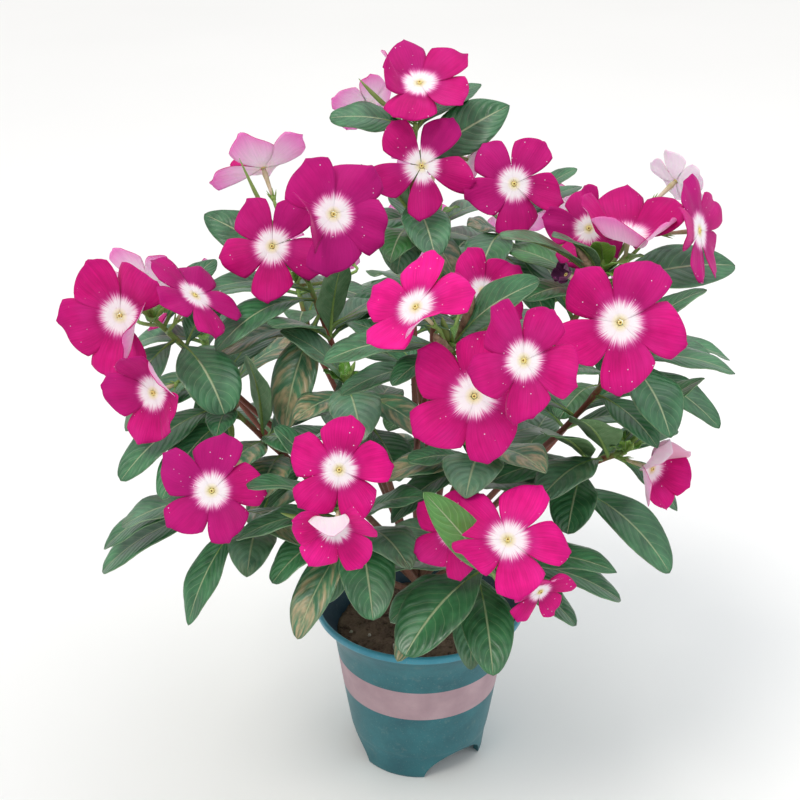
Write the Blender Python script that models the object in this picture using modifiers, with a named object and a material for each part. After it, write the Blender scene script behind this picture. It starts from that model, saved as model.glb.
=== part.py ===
"""Potted periwinkle (Catharanthus roseus) in a flared nursery pot.

Frame: metres, +Z up, origin on the pot's axis at the level of its feet. -Y is the front.
Lengths below are in millimetres and angles in degrees; MM turns a length into metres.
A heading is an angle in plan, 0 towards -Y and 90 towards +X. An elevation is an angle above
the horizontal.
"""
import math
import random

import bmesh
import bpy
from mathutils import Matrix, Vector
from mathutils.bvhtree import BVHTree

MM = 0.001

# Pot
POT_HEIGHT = 108.0
LIP_RADIUS = 65.0
WALL = 1.8
BASE_RADIUS = 40.5
SOLE_WIDTH = 4.0
FLOOR_UNDERSIDE = 19.0
FLOOR_TOP = 21.5
# Outer side of the wall below the lip: height and radius, from the foot up to the flare.
BODY_PROFILE = [(0.0, 40.5), (16.0, 42.6), (22.0, 44.0), (50.0, 48.4), (80.0, 52.6), (88.0, 54.2)]
FLARE_PROFILE = [(94.0, 57.2), (99.0, 60.6), (103.0, 63.4)]
NOTCH_HEADINGS = (36.0, 156.0, -84.0)
NOTCH_HALF_WIDTH = 21.5
NOTCH_HEIGHT = 17.0
DRAIN_HOLE_RADIUS = 4.0
DRAIN_HOLE_CIRCLE = 25.0
DRAIN_HOLES = 5
POT_STEPS = 24

# Soil and stem
SOIL_EDGE_HEIGHT = 86.0
SOIL_CENTRE_HEIGHT = 91.0
STEM_RADIUS = 4.5
STEM_FOOT = 62.0
STEM_TOP = 165.0
GAP = 0.3

# Shoots, leaves and flowers
SHOOT_RADIUS = 2.0
PEDICEL_RADIUS = 1.1
LEAF_THICKNESS = 1.2
PETIOLE_END = 0.10
TUBE_LENGTH = 20.0
TUBE_RADIUS = 1.3
EYE_HINGE = 0.20
SINUS = 0.64
PETAL_THICKNESS = 1.0
CLEARANCE = 1.9
OFFSETS = (0.0, -CLEARANCE, CLEARANCE)
TWIST_STEPS = (0, 7, -7, 14, -14, 22, -22, 30, -30)
REACH = 176.0
SEED = 7

# Each shoot: the height where it leaves the main stem, the points it passes through, then
#   flowers: centre, heading, elevation, spin of the first petal, radius, bend of each petal
#   leaves: place along the shoot (0 to 1), tip, width, arch (part of the length), roll
#   spikes: place along the shoot, tip, radius (pods, buds and stubs)
#   pairs: opposite pairs of leaves added by rule where there is room
#   lowest: place along the shoot where those pairs begin, if not 0.42
SHOOTS = {
    "top": dict(
        start=166, way=[(-4, 4, 250), (-7, 2, 340), (-4, 5, 408)],
        flowers=[
            ((-2, 2, 431), -5, 66, 48, 28, (22, 20, 66, 5, 5)),
            ((-30, 30, 411), -150, 25, 20, 19, (20, 15, 30, 20, 15)),
            ((-1, -22, 393), 0, 24, 62, 27, (0, 3, 0, 4, 2)),
            ((25, 10, 386), 92, -12, 30, 20, (30, 25, 20, 30, 30)),
        ],
        leaves=[
            (0.97, (-50, -2, 413), 22, 0.10, 30),
            (0.86, (50, 10, 410), 28, 0.06, -48),
            (0.97, (32, 28, 423), 20, 0.08, 0),
            (0.74, (-32, -12, 390), 26, 0.08, -20),
            (0.76, (6, -48, 352), 25, 0.14, 0),
            (0.70, (-14, -30, 335), 22, 0.12, 0),
            (0.72, (18, -30, 332), 20, 0.12, 0),
        ],
        spikes=[(0.99, (-34, -8, 436), 1.2)],
        pairs=1),
    "upper_right_of_centre": dict(
        start=150, way=[(18, 2, 230), (36, -2, 310), (46, -4, 352)],
        flowers=[((48, -22, 383), 5, 28, 60, 26, (3, 0, 6, 2, 0))],
        leaves=[
            (0.94, (24, -12, 356), 22, 0.10, 0),
            (0.94, (28, -58, 340), 24, 0.16, 0),
            (1.00, (84, 4, 383), 22, 0.08, 0),
            (0.97, (88, 18, 368), 22, 0.08, 0),
        ],
        spikes=[],
        pairs=2),
    "upper_left": dict(
        start=150, way=[(-28, -14, 215), (-49, -28, 290), (-64, -16, 328)],
        flowers=[
            ((-46, -66, 382), 15, 25, 52, 29, (0, 4, 75, 0, 0)),
            ((-80, -38, 354), -8, 25, 59, 28, (20, 0, 0, 3, 0)),
            ((-87, 5, 383), -155, 42, -8, 28, (10, 18, 10, 62, 68)),
        ],
        leaves=[
            (1.00, (-108, 4, 376), 26, 0.08, 35),
            (0.86, (-110, -66, 314), 26, 0.14, 0),
            (0.80, (-75, -62, 258), 27, 0.10, 0),
            (0.74, (16, -38, 346), 25, 0.08, 0),
            (0.70, (-56, -22, 345), 22, 0.05, 0),
            (0.90, (-116, -42, 334), 24, 0.10, 0),
            (0.74, (-114, -44, 290), 24, 0.12, 0),
            (0.72, (-22, 0, 308), 22, 0.10, 0),
            (0.60, (-32, -52, 258), 24, 0.12, 0),
        ],
        spikes=[(0.98, (-98, -12, 394), 1.2)],
        pairs=1),
    "left": dict(
        start=138, way=[(-54, -22, 205), (-105, -40, 270), (-143, -52, 318)],
        flowers=[
            ((-158, -68, 327), -20, 16, 60, 31, (20, 20, 15, 10, 72)),
            ((-119, -62, 336), 80, 54, 18, 27, (6, 5, 4, 0, 8)),
            ((-150, -18, 325), 170, 30, -15, 25, (12, 18, 12, 50, 60)),
        ],
        leaves=[
            (0.86, (-109, -94, 281), 32, 0.14, 0),
            (0.88, (-158, -88, 282), 28, 0.10, 0),
            (0.96, (-106, -78, 331), 17, 0.10, 0),
            (0.84, (-112, -20, 318), 22, 0.10, 0),
            (0.78, (-108, -76, 240), 22, 0.10, 0),
            (0.94, (-116, -8, 340), 18, 0.08, 0),
        ],
        spikes=[(0.99, (-150, -58, 330), 1.6)],
        pairs=1),
    "cut_back": dict(
        start=128, way=[(-38, -42, 190), (-82, -60, 246), (-105, -62, 272)],
        flowers=[((-138, -102, 299), -28, 10, 50, 26, (62, 52, 28, 5, 42))],
        leaves=[
            (1.00, (-158, -104, 249), 27, 0.12, 0),
            (0.88, (-135, -118, 246), 24, 0.14, 0),
            (0.98, (-112, -100, 268), 16, 0.10, 0),
            (0.72, (-98, -70, 302), 24, 0.06, 0),
            (0.72, (-66, -92, 258), 20, 0.12, 0),
            (0.58, (-48, -75, 262), 24, 0.10, 0),
            (0.62, (-86, -104, 238), 26, 0.12, 0),
        ],
        spikes=[(0.97, (-100, -78, 284), 3.4), (0.99, (-102, -74, 256), 1.6)],
        pairs=1),
    "lower_left": dict(
        start=116, way=[(-40, -48, 160), (-85, -78, 205), (-112, -96, 233)],
        flowers=[((-107, -132, 259), -5, 24, 14, 27, (0, 4, 8, 5, 20))],
        leaves=[
            (0.98, (-158, -112, 226), 24, 0.10, 0),
            (0.96, (-171, -100, 205), 24, 0.12, 0),
            (0.86, (-174, -96, 188), 28, 0.10, 0),
            (0.78, (-126, -118, 168), 22, 0.10, 0),
            (0.82, (-62, -128, 224), 26, 0.12, 0),
        ],
        spikes=[(0.97, (-98, -104, 228), 2.0)],
        pairs=1),
    "front_left": dict(
        start=122, way=[(-15, -55, 172), (-32, -95, 212), (-42, -122, 238)],
        flowers=[
            ((-42, -150, 281), 0, 28, 15, 25, (0, 3, 0, 2, 0)),
            ((-44, -172, 261), -5, 2, 28, 22, (40, 98, 40, 12, 12)),
        ],
        leaves=[
            (0.98, (-90, -152, 264), 26, 0.12, 0),
            (0.94, (-93, -132, 217), 24, 0.12, 0),
            (0.80, (-80, -136, 212), 22, 0.12, 0),
            (0.74, (-66, -142, 176), 22, 0.10, 0),
            (0.74, (-26, -160, 200), 28, 0.14, 0),
            (0.92, (-70, -112, 288), 24, 0.06, 0),
            (0.60, (-54, -116, 180), 22, 0.10, 0),
            (0.82, (0, -126, 252), 22, 0.10, 0),
        ],
        spikes=[(0.95, (-72, -142, 252), 1.4)],
        pairs=1),
    "front": dict(
        start=112, way=[(18, -50, 150), (32, -90, 185), (37, -118, 206)],
        flowers=[
            ((14, -142, 241), -30, 22, 20, 22, (10, 5, 10, 5, 20)),
            ((40, -166, 251), 0, 56, -2, 29, (0, 20, 0, 30, 10)),
            ((57, -166, 221), 28, -14, 20, 17, (20, 30, 10, 15, 25)),
        ],
        leaves=[
            (0.84, (-10, -160, 178), 34, 0.12, 0),
            (0.60, (36, -152, 160), 28, 0.12, 0),
            (0.48, (-14, -120, 146), 20, 0.10, 0),
            (0.52, (20, -122, 142), 20, 0.10, 0),
            (0.70, (82, -118, 168), 25, 0.12, 0),
            (1.00, (98, -142, 217), 28, 0.12, 0),
            (0.82, (105, -118, 184), 27, 0.12, 0),
            (0.92, (-4, -138, 262), 22, 0.08, 0),
            (0.46, (-28, -112, 198), 26, 0.10, 0),
            (0.55, (-20, -100, 170), 26, 0.10, 0),
        ],
        spikes=[],
        pairs=1),
    "middle": dict(
        start=132, way=[(15, -45, 190), (26, -85, 240), (30, -105, 264)],
        flowers=[],
        leaves=[
            (0.97, (20, -150, 254), 30, 0.16, 0),
            (0.99, (60, -146, 264), 28, 0.14, 0),
            (0.85, (-24, -112, 254), 26, 0.10, 0),
            (0.75, (36, -126, 278), 20, 0.06, 0),
            (0.90, (-8, -118, 268), 20, 0.08, 0),
        ],
        spikes=[],
        pairs=2),
    "centre": dict(
        start=148, way=[(-4, -35, 215), (2, -72, 285), (14, -104, 325)],
        flowers=[
            ((23, -148, 320), -5, 20, 10, 31, (3, 0, 2, 0, 4)),
            ((44, -172, 350), -36, 24, 3, 27, (0, 10, 0, 5, 5)),
            ((-5, -136, 361), -42, 46, 44, 27, (0, 4, 0, 22, 56)),
            ((30, -76, 344), 30, 40, 30, 22, (20, 10, 30, 20, 10)),
        ],
        leaves=[
            (0.96, (-50, -116, 323), 27, 0.12, 0),
            (0.92, (-16, -132, 318), 17, 0.10, 0),
            (0.80, (-42, -110, 302), 24, 0.10, 0),
            (1.00, (54, -126, 370), 25, 0.10, -40),
            (0.98, (-14, -122, 338), 20, 0.10, 0),
        ],
        spikes=[
            (1.00, (24, -110, 356), 2.4), (0.99, (4, -124, 342), 2.6), (0.98, (8, -118, 348), 2.0),
        ],
        pairs=1),
    "inner_left": dict(
        start=136, way=[(-20, -27, 210), (-32, -52, 264), (-42, -60, 284)],
        flowers=[],
        leaves=[
            (1.00, (-32, -104, 272), 27, 0.14, 0),
            (0.80, (-76, -70, 274), 24, 0.10, 0),
            (0.60, (-46, -92, 250), 24, 0.10, 0),
        ],
        spikes=[],
        pairs=2),
    "upper_right": dict(
        start=156, way=[(34, -22, 220), (68, -46, 292), (92, -62, 347)],
        flowers=[
            ((104, -66, 371), 10, 76, 20, 30, (44, 30, 46, 64, 62)),
            ((87, -38, 364), -14, 26, 40, 22, (10, 5, 10, 20, 15)),
            ((141, -60, 371), 62, 15, 90, 27, (0, 10, 5, 0, 10)),
            ((134, -20, 384), 132, 24, 90, 18, (20, 15, 10, 20, 15)),
            ((71, -86, 357), -60, 30, 0, 8, (70, 76, 70, 76, 70)),
        ],
        leaves=[
            (0.96, (38, -78, 374), 30, 0.10, 0),
            (0.92, (48, -30, 370), 24, 0.08, 0),
            (0.80, (58, -12, 360), 24, 0.08, 0),
            (0.98, (58, -92, 368), 20, 0.12, 0),
            (0.92, (167, -30, 350), 27, 0.10, -35),
            (0.97, (134, -18, 346), 22, 0.10, 0),
            (0.90, (50, -92, 346), 22, 0.10, 0),
            (1.00, (88, -76, 368), 13, 0.16, 0),
            (1.00, (101, -76, 362), 12, 0.16, 0),
        ],
        spikes=[(0.99, (76, -78, 369), 2.2)],
        pairs=1),
    "right": dict(
        start=136, way=[(42, -38, 205), (78, -70, 265), (102, -92, 314)],
        flowers=[((92, -136, 353), 0, 26, 66, 31, (0, 3, 0, 0, 0))],
        leaves=[
            (1.00, (142, -86, 349), 23, 0.12, 0),
            (0.98, (158, -98, 308), 26, 0.10, 0),
            (0.99, (122, -136, 296), 29, 0.14, 0),
            (0.88, (66, -104, 310), 24, 0.12, 0),
            (0.80, (118, -118, 276), 22, 0.10, 0),
        ],
        spikes=[],
        pairs=1),
    "lower_right": dict(
        start=122, way=[(45, -34, 175), (88, -66, 235), (108, -80, 253)],
        flowers=[((119, -102, 255), 42, 6, 50, 22, (60, 70, 55, 50, 65))],
        leaves=[
            (0.82, (87, -90, 297), 27, 0.06, 0),
            (0.86, (148, -72, 293), 25, 0.08, 0),
            (0.78, (58, -116, 242), 28, 0.12, 0),
            (0.66, (76, -106, 218), 25, 0.12, 0),
            (0.58, (134, -96, 187), 31, 0.12, 0),
            (0.86, (136, -92, 224), 18, 0.10, 0),
            (0.70, (54, -92, 284), 26, 0.08, 0),
        ],
        spikes=[(0.90, (118, -78, 268), 1.4)],
        pairs=1),
    "right_side": dict(
        start=128, way=[(60, 12, 185), (104, 28, 235), (122, 34, 262)],
        flowers=[((128, 46, 288), 110, 34, 40, 26, (4, 8, 5, 10, 4))],
        leaves=[
            (0.95, (186, 38, 260), 26, 0.12, 0),
            (0.80, (172, -12, 232), 26, 0.12, 0),
        ],
        spikes=[],
        pairs=4, lowest=0.24),
    "left_side": dict(
        start=124, way=[(-62, 8, 180), (-110, 20, 236), (-130, 28, 272)],
        flowers=[((-142, 38, 294), -105, 34, 10, 26, (6, 4, 8, 5, 10))],
        leaves=[
            (0.95, (-175, 42, 258), 26, 0.12, 0),
            (0.80, (-172, -8, 228), 26, 0.12, 0),
        ],
        spikes=[],
        pairs=4, lowest=0.24),
    "back_left": dict(
        start=134, way=[(-34, 42, 190), (-66, 86, 240), (-78, 104, 276)],
        flowers=[
            ((-88, 122, 303), -140, 35, 20, 27, (5, 8, 4, 10, 6)),
            ((-48, 146, 286), -162, 25, 50, 25, (8, 4, 10, 5, 6)),
        ],
        leaves=[],
        spikes=[(0.98, (-70, 94, 292), 1.6)],
        pairs=5, lowest=0.24),
    "back": dict(
        start=118, way=[(4, 52, 172), (-2, 105, 222), (-4, 132, 262)],
        flowers=[((-2, 158, 290), 178, 28, 0, 27, (4, 6, 10, 5, 8))],
        leaves=[
            (0.95, (-30, 186, 246), 26, 0.12, 0),
            (0.80, (32, 184, 214), 26, 0.12, 0),
        ],
        spikes=[],
        pairs=5, lowest=0.24),
    "back_right": dict(
        start=140, way=[(36, 40, 200), (72, 84, 252), (88, 104, 288)],
        flowers=[
            ((98, 120, 316), 142, 38, 30, 27, (6, 4, 8, 5, 10)),
            ((60, 138, 312), 165, 25, 10, 25, (10, 5, 6, 8, 4)),
        ],
        leaves=[],
        spikes=[(0.98, (80, 94, 306), 1.6)],
        pairs=5, lowest=0.24),
    "upper_back": dict(
        start=158, way=[(6, 26, 235), (8, 48, 300), (8, 60, 334)],
        flowers=[((8, 80, 362), 172, 50, 40, 26, (6, 10, 5, 8, 4))],
        leaves=[],
        spikes=[],
        pairs=4),
}


def clear_scene():
    for thing in list(bpy.data.objects):
        bpy.data.objects.remove(thing, do_unlink=True)


def new_collection(name):
    collection = bpy.data.collections.new(name)
    bpy.context.scene.collection.children.link(collection)
    return collection


def new_material(name, colour, roughness):
    material = bpy.data.materials.new(name)
    material.use_nodes = True
    shader = material.node_tree.nodes["Principled BSDF"]
    shader.inputs["Base Color"].default_value = (*colour, 1.0)
    shader.inputs["Roughness"].default_value = roughness
    shader.inputs["Metallic"].default_value = 0.0
    return material


def new_object(name, mesh, collection, material=None):
    thing = bpy.data.objects.new(name, mesh)
    collection.objects.link(thing)
    if material:
        mesh.materials.append(material)
    return thing


def as_guide(thing):
    thing.hide_render = True
    thing.display_type = "WIRE"
    return thing


def curve_through(points, s):
    """Point at s (0 to 1) on a smooth curve through the points."""
    spans = len(points) - 1
    place = min(max(s, 0.0), 1.0) * spans
    first = min(int(place), spans - 1)
    t = place - first
    a = points[max(first - 1, 0)]
    b = points[first]
    c = points[first + 1]
    d = points[min(first + 2, spans)]
    return 0.5 * (2 * b + (c - a) * t + (2 * a - 5 * b + 4 * c - d) * t * t
                  + (3 * b - a - 3 * c + d) * t * t * t)


def direction(heading, elevation):
    h = math.radians(heading)
    e = math.radians(elevation)
    return Vector((math.sin(h) * math.cos(e), -math.cos(h) * math.cos(e), math.sin(e)))


def tube(name, points, radius, resolution, collection, material=None):
    """A round tube through the points, with welded caps, as a mesh."""
    curve = bpy.data.curves.new(name + "_curve", "CURVE")
    curve.dimensions = "3D"
    curve.bevel_depth = radius * MM
    curve.bevel_resolution = resolution
    curve.use_fill_caps = True
    spline = curve.splines.new("POLY")
    spline.points.add(len(points) - 1)
    for knot, point in zip(spline.points, points):
        knot.co = (*(point * MM), 1.0)
    carrier = bpy.data.objects.new(name + "_curve", curve)
    collection.objects.link(carrier)
    graph = bpy.context.evaluated_depsgraph_get()
    mesh = bpy.data.meshes.new_from_object(carrier.evaluated_get(graph))
    work = bmesh.new()
    work.from_mesh(mesh)
    bmesh.ops.remove_doubles(work, verts=work.verts, dist=0.00001)
    bmesh.ops.triangulate(work, faces=work.faces)
    bmesh.ops.recalc_face_normals(work, faces=work.faces)
    work.to_mesh(mesh)
    work.free()
    thing = new_object(name, mesh, collection, material)
    thing.matrix_world = carrier.matrix_world.copy()
    bpy.data.objects.remove(carrier, do_unlink=True)
    return thing


def loft(name, rings, collection, material=None):
    """A closed body through rings that all have the same number of points."""
    work = bmesh.new()
    loops = [[work.verts.new(point * MM) for point in ring] for ring in rings]
    for lower, upper in zip(loops, loops[1:]):
        for i in range(len(lower)):
            j = (i + 1) % len(lower)
            work.faces.new((lower[i], lower[j], upper[j], upper[i]))
    work.faces.new(list(reversed(loops[0])))
    work.faces.new(loops[-1])
    bmesh.ops.triangulate(work, faces=work.faces)
    bmesh.ops.recalc_face_normals(work, faces=work.faces)
    mesh = bpy.data.meshes.new(name)
    work.to_mesh(mesh)
    work.free()
    return new_object(name, mesh, collection, material)


def subtract(body, cutter):
    cut = body.modifiers.new("cut_" + cutter.name, "BOOLEAN")
    cut.operation = "DIFFERENCE"
    cut.solver = "EXACT"
    cut.object = as_guide(cutter)


def wall_radius(height):
    """Outer radius of the pot's wall at a height."""
    profile = BODY_PROFILE + FLARE_PROFILE
    for (z0, r0), (z1, r1) in zip(profile, profile[1:]):
        if height <= z1:
            return r0 + (r1 - r0) * (height - z0) / (z1 - z0)
    return profile[-1][1]


def turned(name, profile, collection, material):
    """A full turn of a profile that starts and ends on the Z axis."""
    work = bmesh.new()
    corners = [work.verts.new((r * MM, 0.0, z * MM)) for r, z in profile]
    for first, second in zip(corners, corners[1:]):
        work.edges.new((first, second))
    mesh = bpy.data.meshes.new(name)
    work.to_mesh(mesh)
    work.free()
    thing = new_object(name, mesh, collection, material)
    screw = thing.modifiers.new("turn", "SCREW")
    screw.steps = POT_STEPS
    screw.render_steps = POT_STEPS
    screw.use_merge_vertices = True
    screw.merge_threshold = 0.00001
    screw.use_smooth_shade = False
    return thing


def cylinder(name, radius, depth, placing, sides, collection):
    """A cylinder along Z, placed by a matrix that works in millimetres."""
    work = bmesh.new()
    bmesh.ops.create_cone(work, cap_ends=True, segments=sides, radius1=radius, radius2=radius,
                          depth=depth)
    bmesh.ops.transform(work, matrix=Matrix.Scale(MM, 4) @ placing, verts=work.verts)
    mesh = bpy.data.meshes.new(name)
    work.to_mesh(mesh)
    work.free()
    return new_object(name, mesh, collection)


def build_pot(parts, cutters, plastic):
    """The flared pot: raised floor with drain holes over a skirt on three feet."""
    lip = [(LIP_RADIUS - 0.4, 105.0), (LIP_RADIUS, 106.2), (LIP_RADIUS - 0.3, 107.4),
           (LIP_RADIUS - 1.4, POT_HEIGHT), (LIP_RADIUS - 2.8, 107.2)]
    inner = [(r - WALL, z) for z, r in reversed(FLARE_PROFILE)]
    inner += [(r - WALL, z) for z, r in reversed(BODY_PROFILE[3:])]
    inner += [(wall_radius(FLOOR_TOP) - WALL, FLOOR_TOP), (0.0, FLOOR_TOP)]
    outer = [(r, z) for z, r in BODY_PROFILE + FLARE_PROFILE]
    recess = [(0.0, FLOOR_UNDERSIDE), (wall_radius(FLOOR_UNDERSIDE) - WALL - 1.0, FLOOR_UNDERSIDE),
              (BASE_RADIUS - SOLE_WIDTH + 0.6, 8.0), (BASE_RADIUS - SOLE_WIDTH, 0.0)]
    profile = recess + outer + lip + inner
    pot = turned("pot", list(reversed(profile)), parts, plastic)
    for k, heading in enumerate(NOTCH_HEADINGS):
        turn = Matrix.Rotation(math.radians(heading), 4, "Z")
        place = Matrix.Translation((0.0, -42.0, 0.0))
        squash = Matrix.Diagonal((1.0, 1.0, NOTCH_HEIGHT / NOTCH_HALF_WIDTH, 1.0))
        lay = Matrix.Rotation(math.radians(90.0), 4, "X")
        subtract(pot, cylinder(f"notch_{k}", NOTCH_HALF_WIDTH, 34.0,
                               turn @ place @ squash @ lay, 16, cutters))
    for k in range(DRAIN_HOLES):
        spot = direction(360.0 / DRAIN_HOLES * k + 18.0, 0.0) * DRAIN_HOLE_CIRCLE
        spot.z = 0.5 * (FLOOR_UNDERSIDE + FLOOR_TOP)
        subtract(pot, cylinder(f"drain_{k}", DRAIN_HOLE_RADIUS, 12.0,
                               Matrix.Translation(spot), 10, cutters))
    return pot


def build_soil(parts, cutters, earth):
    """The root ball, with a socket for the main stem."""
    fit = WALL + GAP
    edge = SOIL_EDGE_HEIGHT
    profile = [(0.0, SOIL_CENTRE_HEIGHT), (16.0, SOIL_CENTRE_HEIGHT - 0.5), (34.0, edge + 2.5),
               (wall_radius(edge) - fit, edge)]
    profile += [(wall_radius(z) - fit, z) for z in (80.0, 50.0)]
    profile += [(wall_radius(FLOOR_TOP) - fit, FLOOR_TOP + GAP), (0.0, FLOOR_TOP + GAP)]
    soil = turned("soil", profile, parts, earth)
    subtract(soil, cylinder("stem_socket", STEM_RADIUS + GAP, 60.0,
                            Matrix.Translation((0.0, 0.0, STEM_FOOT - GAP + 30.0)), 12, cutters))
    return soil


def shoot_path(spec):
    """The points of a shoot, starting just clear of the main stem."""
    way = [Vector(point) for point in spec["way"]]
    if spec["start"] > STEM_TOP:
        return [Vector((0.0, 0.0, spec["start"]))] + way
    outward = Vector((way[0].x, way[0].y, 0.0)).normalized()
    start = outward * (STEM_RADIUS + SHOOT_RADIUS + 0.6)
    start.z = spec["start"]
    return [start] + way


class Flower:
    """A five-petalled flower on a slender tube."""

    def __init__(self, centre, heading, elevation, spin, radius, bends):
        self.centre = Vector(centre)
        self.face = direction(heading, elevation)
        self.right = direction(heading + 90.0, 0.0)
        self.up = self.face.cross(self.right)
        self.spin = spin
        self.radius = radius
        self.bends = bends

    def spot(self, angle, out, lift):
        """A point at an angle round the eye, a distance out and a height over the face."""
        a = math.radians(angle)
        ray = self.right * math.cos(a) + self.up * math.sin(a)
        return self.centre + ray * out + self.face * lift

    def tube_foot(self):
        return self.centre - self.face * TUBE_LENGTH

    def outline(self):
        """Angle, radius and bend of the fifteen points round the corolla."""
        points = []
        for k in range(5):
            middle = self.spin + 72.0 * k
            bend = self.bends[k]
            shared = 0.5 * (bend + self.bends[(k + 1) % 5])
            points.append((middle - 17.0, self.radius * 0.98, bend))
            points.append((middle + 17.0, self.radius, bend))
            points.append((middle + 36.0, self.radius * SINUS, shared))
        return points

    def rings(self):
        hinge = self.radius * EYE_HINGE
        turn = [angle for angle, _, _ in self.outline()]
        foot = [self.spot(angle, TUBE_RADIUS, -TUBE_LENGTH) for angle in turn]
        under = []
        rim = []
        for angle, reach, bend in self.outline():
            b = math.radians(bend)
            under.append(self.spot(angle, hinge + PETAL_THICKNESS * math.sin(b),
                                   -PETAL_THICKNESS * math.cos(b)))
            rim.append(self.spot(angle, hinge + (reach - hinge) * math.cos(b),
                                 (reach - hinge) * math.sin(b)))
        eye = [self.spot(angle, hinge, 0.0) for angle in turn]
        return [foot, under, rim, eye]


class Leaf:
    """A blade that arches from its base on the shoot to its tip."""

    def __init__(self, base, tip, width, arch, roll):
        self.base = base
        self.tip = tip
        self.width = width
        self.arch = arch
        self.roll = roll
        chord = tip - base
        side = chord.cross(Vector((0.0, 0.0, 1.0)))
        if side.length < 0.15 * chord.length:
            side = chord.cross(Vector((base.x, base.y, 0.0)))
        side.normalize()
        top = side.cross(chord).normalized()
        r = math.radians(roll)
        self.side = side * math.cos(r) + top * math.sin(r)
        top = top * math.cos(r) - side * math.sin(r)
        self.knee = 0.5 * (base + tip) + top * (2.0 * arch * chord.length)

    def surface(self, s, q):
        """Point on the blade: s from base to tip, q from -1 to 1 across; and its normal."""
        middle = (self.base * (1.0 - s) ** 2 + self.knee * (2.0 * s * (1.0 - s))
                  + self.tip * s * s)
        along = ((self.knee - self.base) * (1.0 - s) + (self.tip - self.knee) * s).normalized()
        normal = self.side.cross(along)
        half = 0.5 * self.width * blade_share(s)
        return middle + self.side * (q * half) + normal * (0.22 * abs(q) * half), normal

    def rings(self):
        half = 0.5 * LEAF_THICKNESS
        rings = []
        for s in (0.0, 0.26, 0.68, 1.0):
            left, _ = self.surface(s, -1.0)
            middle, normal = self.surface(s, 0.0)
            right, _ = self.surface(s, 1.0)
            rings.append([left, middle - normal * half, right, middle + normal * half])
        return rings


def blade_share(s):
    """Share of the full width at s along a leaf: a slim stalk, then an oblong blade."""
    if s <= PETIOLE_END:
        return 0.09
    u = (s - PETIOLE_END) / (1.0 - PETIOLE_END)
    return 0.09 + 0.91 * math.sin(math.pi * u ** 0.95) ** 0.72 if u < 1.0 else 0.09


class Thicket:
    """Everything placed so far, as thin sheets that a new leaf must stay clear of."""

    def __init__(self):
        self.points = []
        self.faces = []
        self.owners = []
        self.tree = None

    def add(self, owner, points, faces):
        start = len(self.points)
        self.points += points
        self.faces += [tuple(start + i for i in face) for face in faces]
        self.owners += [owner] * len(faces)
        self.tree = None

    def hits(self, points, faces, kin=None):
        """True where a sheet meets anything that isn't part of the kin's own shoot."""
        if self.tree is None:
            self.tree = BVHTree.FromPolygons(self.points, self.faces)
        met = self.tree.overlap(BVHTree.FromPolygons(points, faces))
        return any(self.owners[pair[0]] != kin for pair in met)


def grid_sheet(leaf, stations, offset):
    points = []
    for s in stations:
        for q in (-1.0, 0.0, 1.0):
            point, normal = leaf.surface(s, q)
            points.append(point + normal * offset)
    faces = []
    for i in range(len(stations) - 1):
        for j in range(2):
            a = 3 * i + j
            faces.append((a, a + 1, a + 4, a + 3))
    return points, faces


def rod_sheet(points, radius):
    """A three-sided sleeve round a line of points."""
    ring = []
    for i, point in enumerate(points):
        along = (points[min(i + 1, len(points) - 1)] - points[max(i - 1, 0)]).normalized()
        side = along.orthogonal().normalized()
        for k in range(3):
            ring.append(point + Matrix.Rotation(math.radians(120.0 * k), 3, along) @ side * radius)
    faces = []
    for i in range(len(points) - 1):
        for k in range(3):
            a = 3 * i + k
            b = 3 * i + (k + 1) % 3
            faces.append((a, b, b + 3, a + 3))
    return ring, faces


def add_flower(thicket, owner, flower):
    outline = flower.outline()
    hinge = flower.radius * EYE_HINGE
    for lift in (-CLEARANCE, CLEARANCE):
        points = [flower.spot(0.0, 0.0, lift)]
        for angle, reach, bend in outline:
            b = math.radians(bend)
            points.append(flower.spot(angle, hinge + (reach - hinge) * math.cos(b),
                                      (reach - hinge) * math.sin(b) + lift))
        count = len(outline)
        thicket.add(owner, points, [(0, 1 + i, 1 + (i + 1) % count) for i in range(count)])
    thicket.add(owner, *rod_sheet([flower.tube_foot(), flower.centre], 3.0))


def place_leaf(thicket, owner, leaf, inside_only):
    """The leaf, turned a little about its base until it is clear of everything else."""
    chord = leaf.tip - leaf.base
    flat = Vector((chord.x, chord.y, 0.0))
    hinge = flat.cross(Vector((0.0, 0.0, 1.0)))
    hinge = hinge.normalized() if hinge.length > 1.0 else Vector((1.0, 0.0, 0.0))
    turns = [(yaw, lift) for yaw in TWIST_STEPS for lift in TWIST_STEPS]
    turns.sort(key=lambda turn: abs(turn[0]) + abs(turn[1]))
    blade = (0.25, 0.4, 0.55, 0.7, 0.85, 1.0)
    stalk = (0.06, 0.16, 0.25)
    for yaw, lift in turns:
        moved = Matrix.Rotation(math.radians(lift), 3, hinge) @ chord
        moved = Matrix.Rotation(math.radians(yaw), 3, "Z") @ moved
        trial = Leaf(leaf.base, leaf.base + moved, leaf.width, leaf.arch, leaf.roll)
        if inside_only and not within_reach(trial.tip):
            continue
        if any(thicket.hits(*grid_sheet(trial, blade, offset)) for offset in OFFSETS):
            continue
        if any(thicket.hits(*grid_sheet(trial, stalk, offset), owner) for offset in OFFSETS):
            continue
        thicket.add(owner, *grid_sheet(trial, (0.12, 0.3, 0.5, 0.7, 0.85, 1.0), 0.0))
        return trial
    return None


def within_reach(tip):
    """True inside the plant's outline and clear above the pot."""
    out = math.hypot(tip.x, tip.y)
    return out < REACH and tip.z > 128.0 and not (out < 80.0 and tip.z < 140.0)


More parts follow.
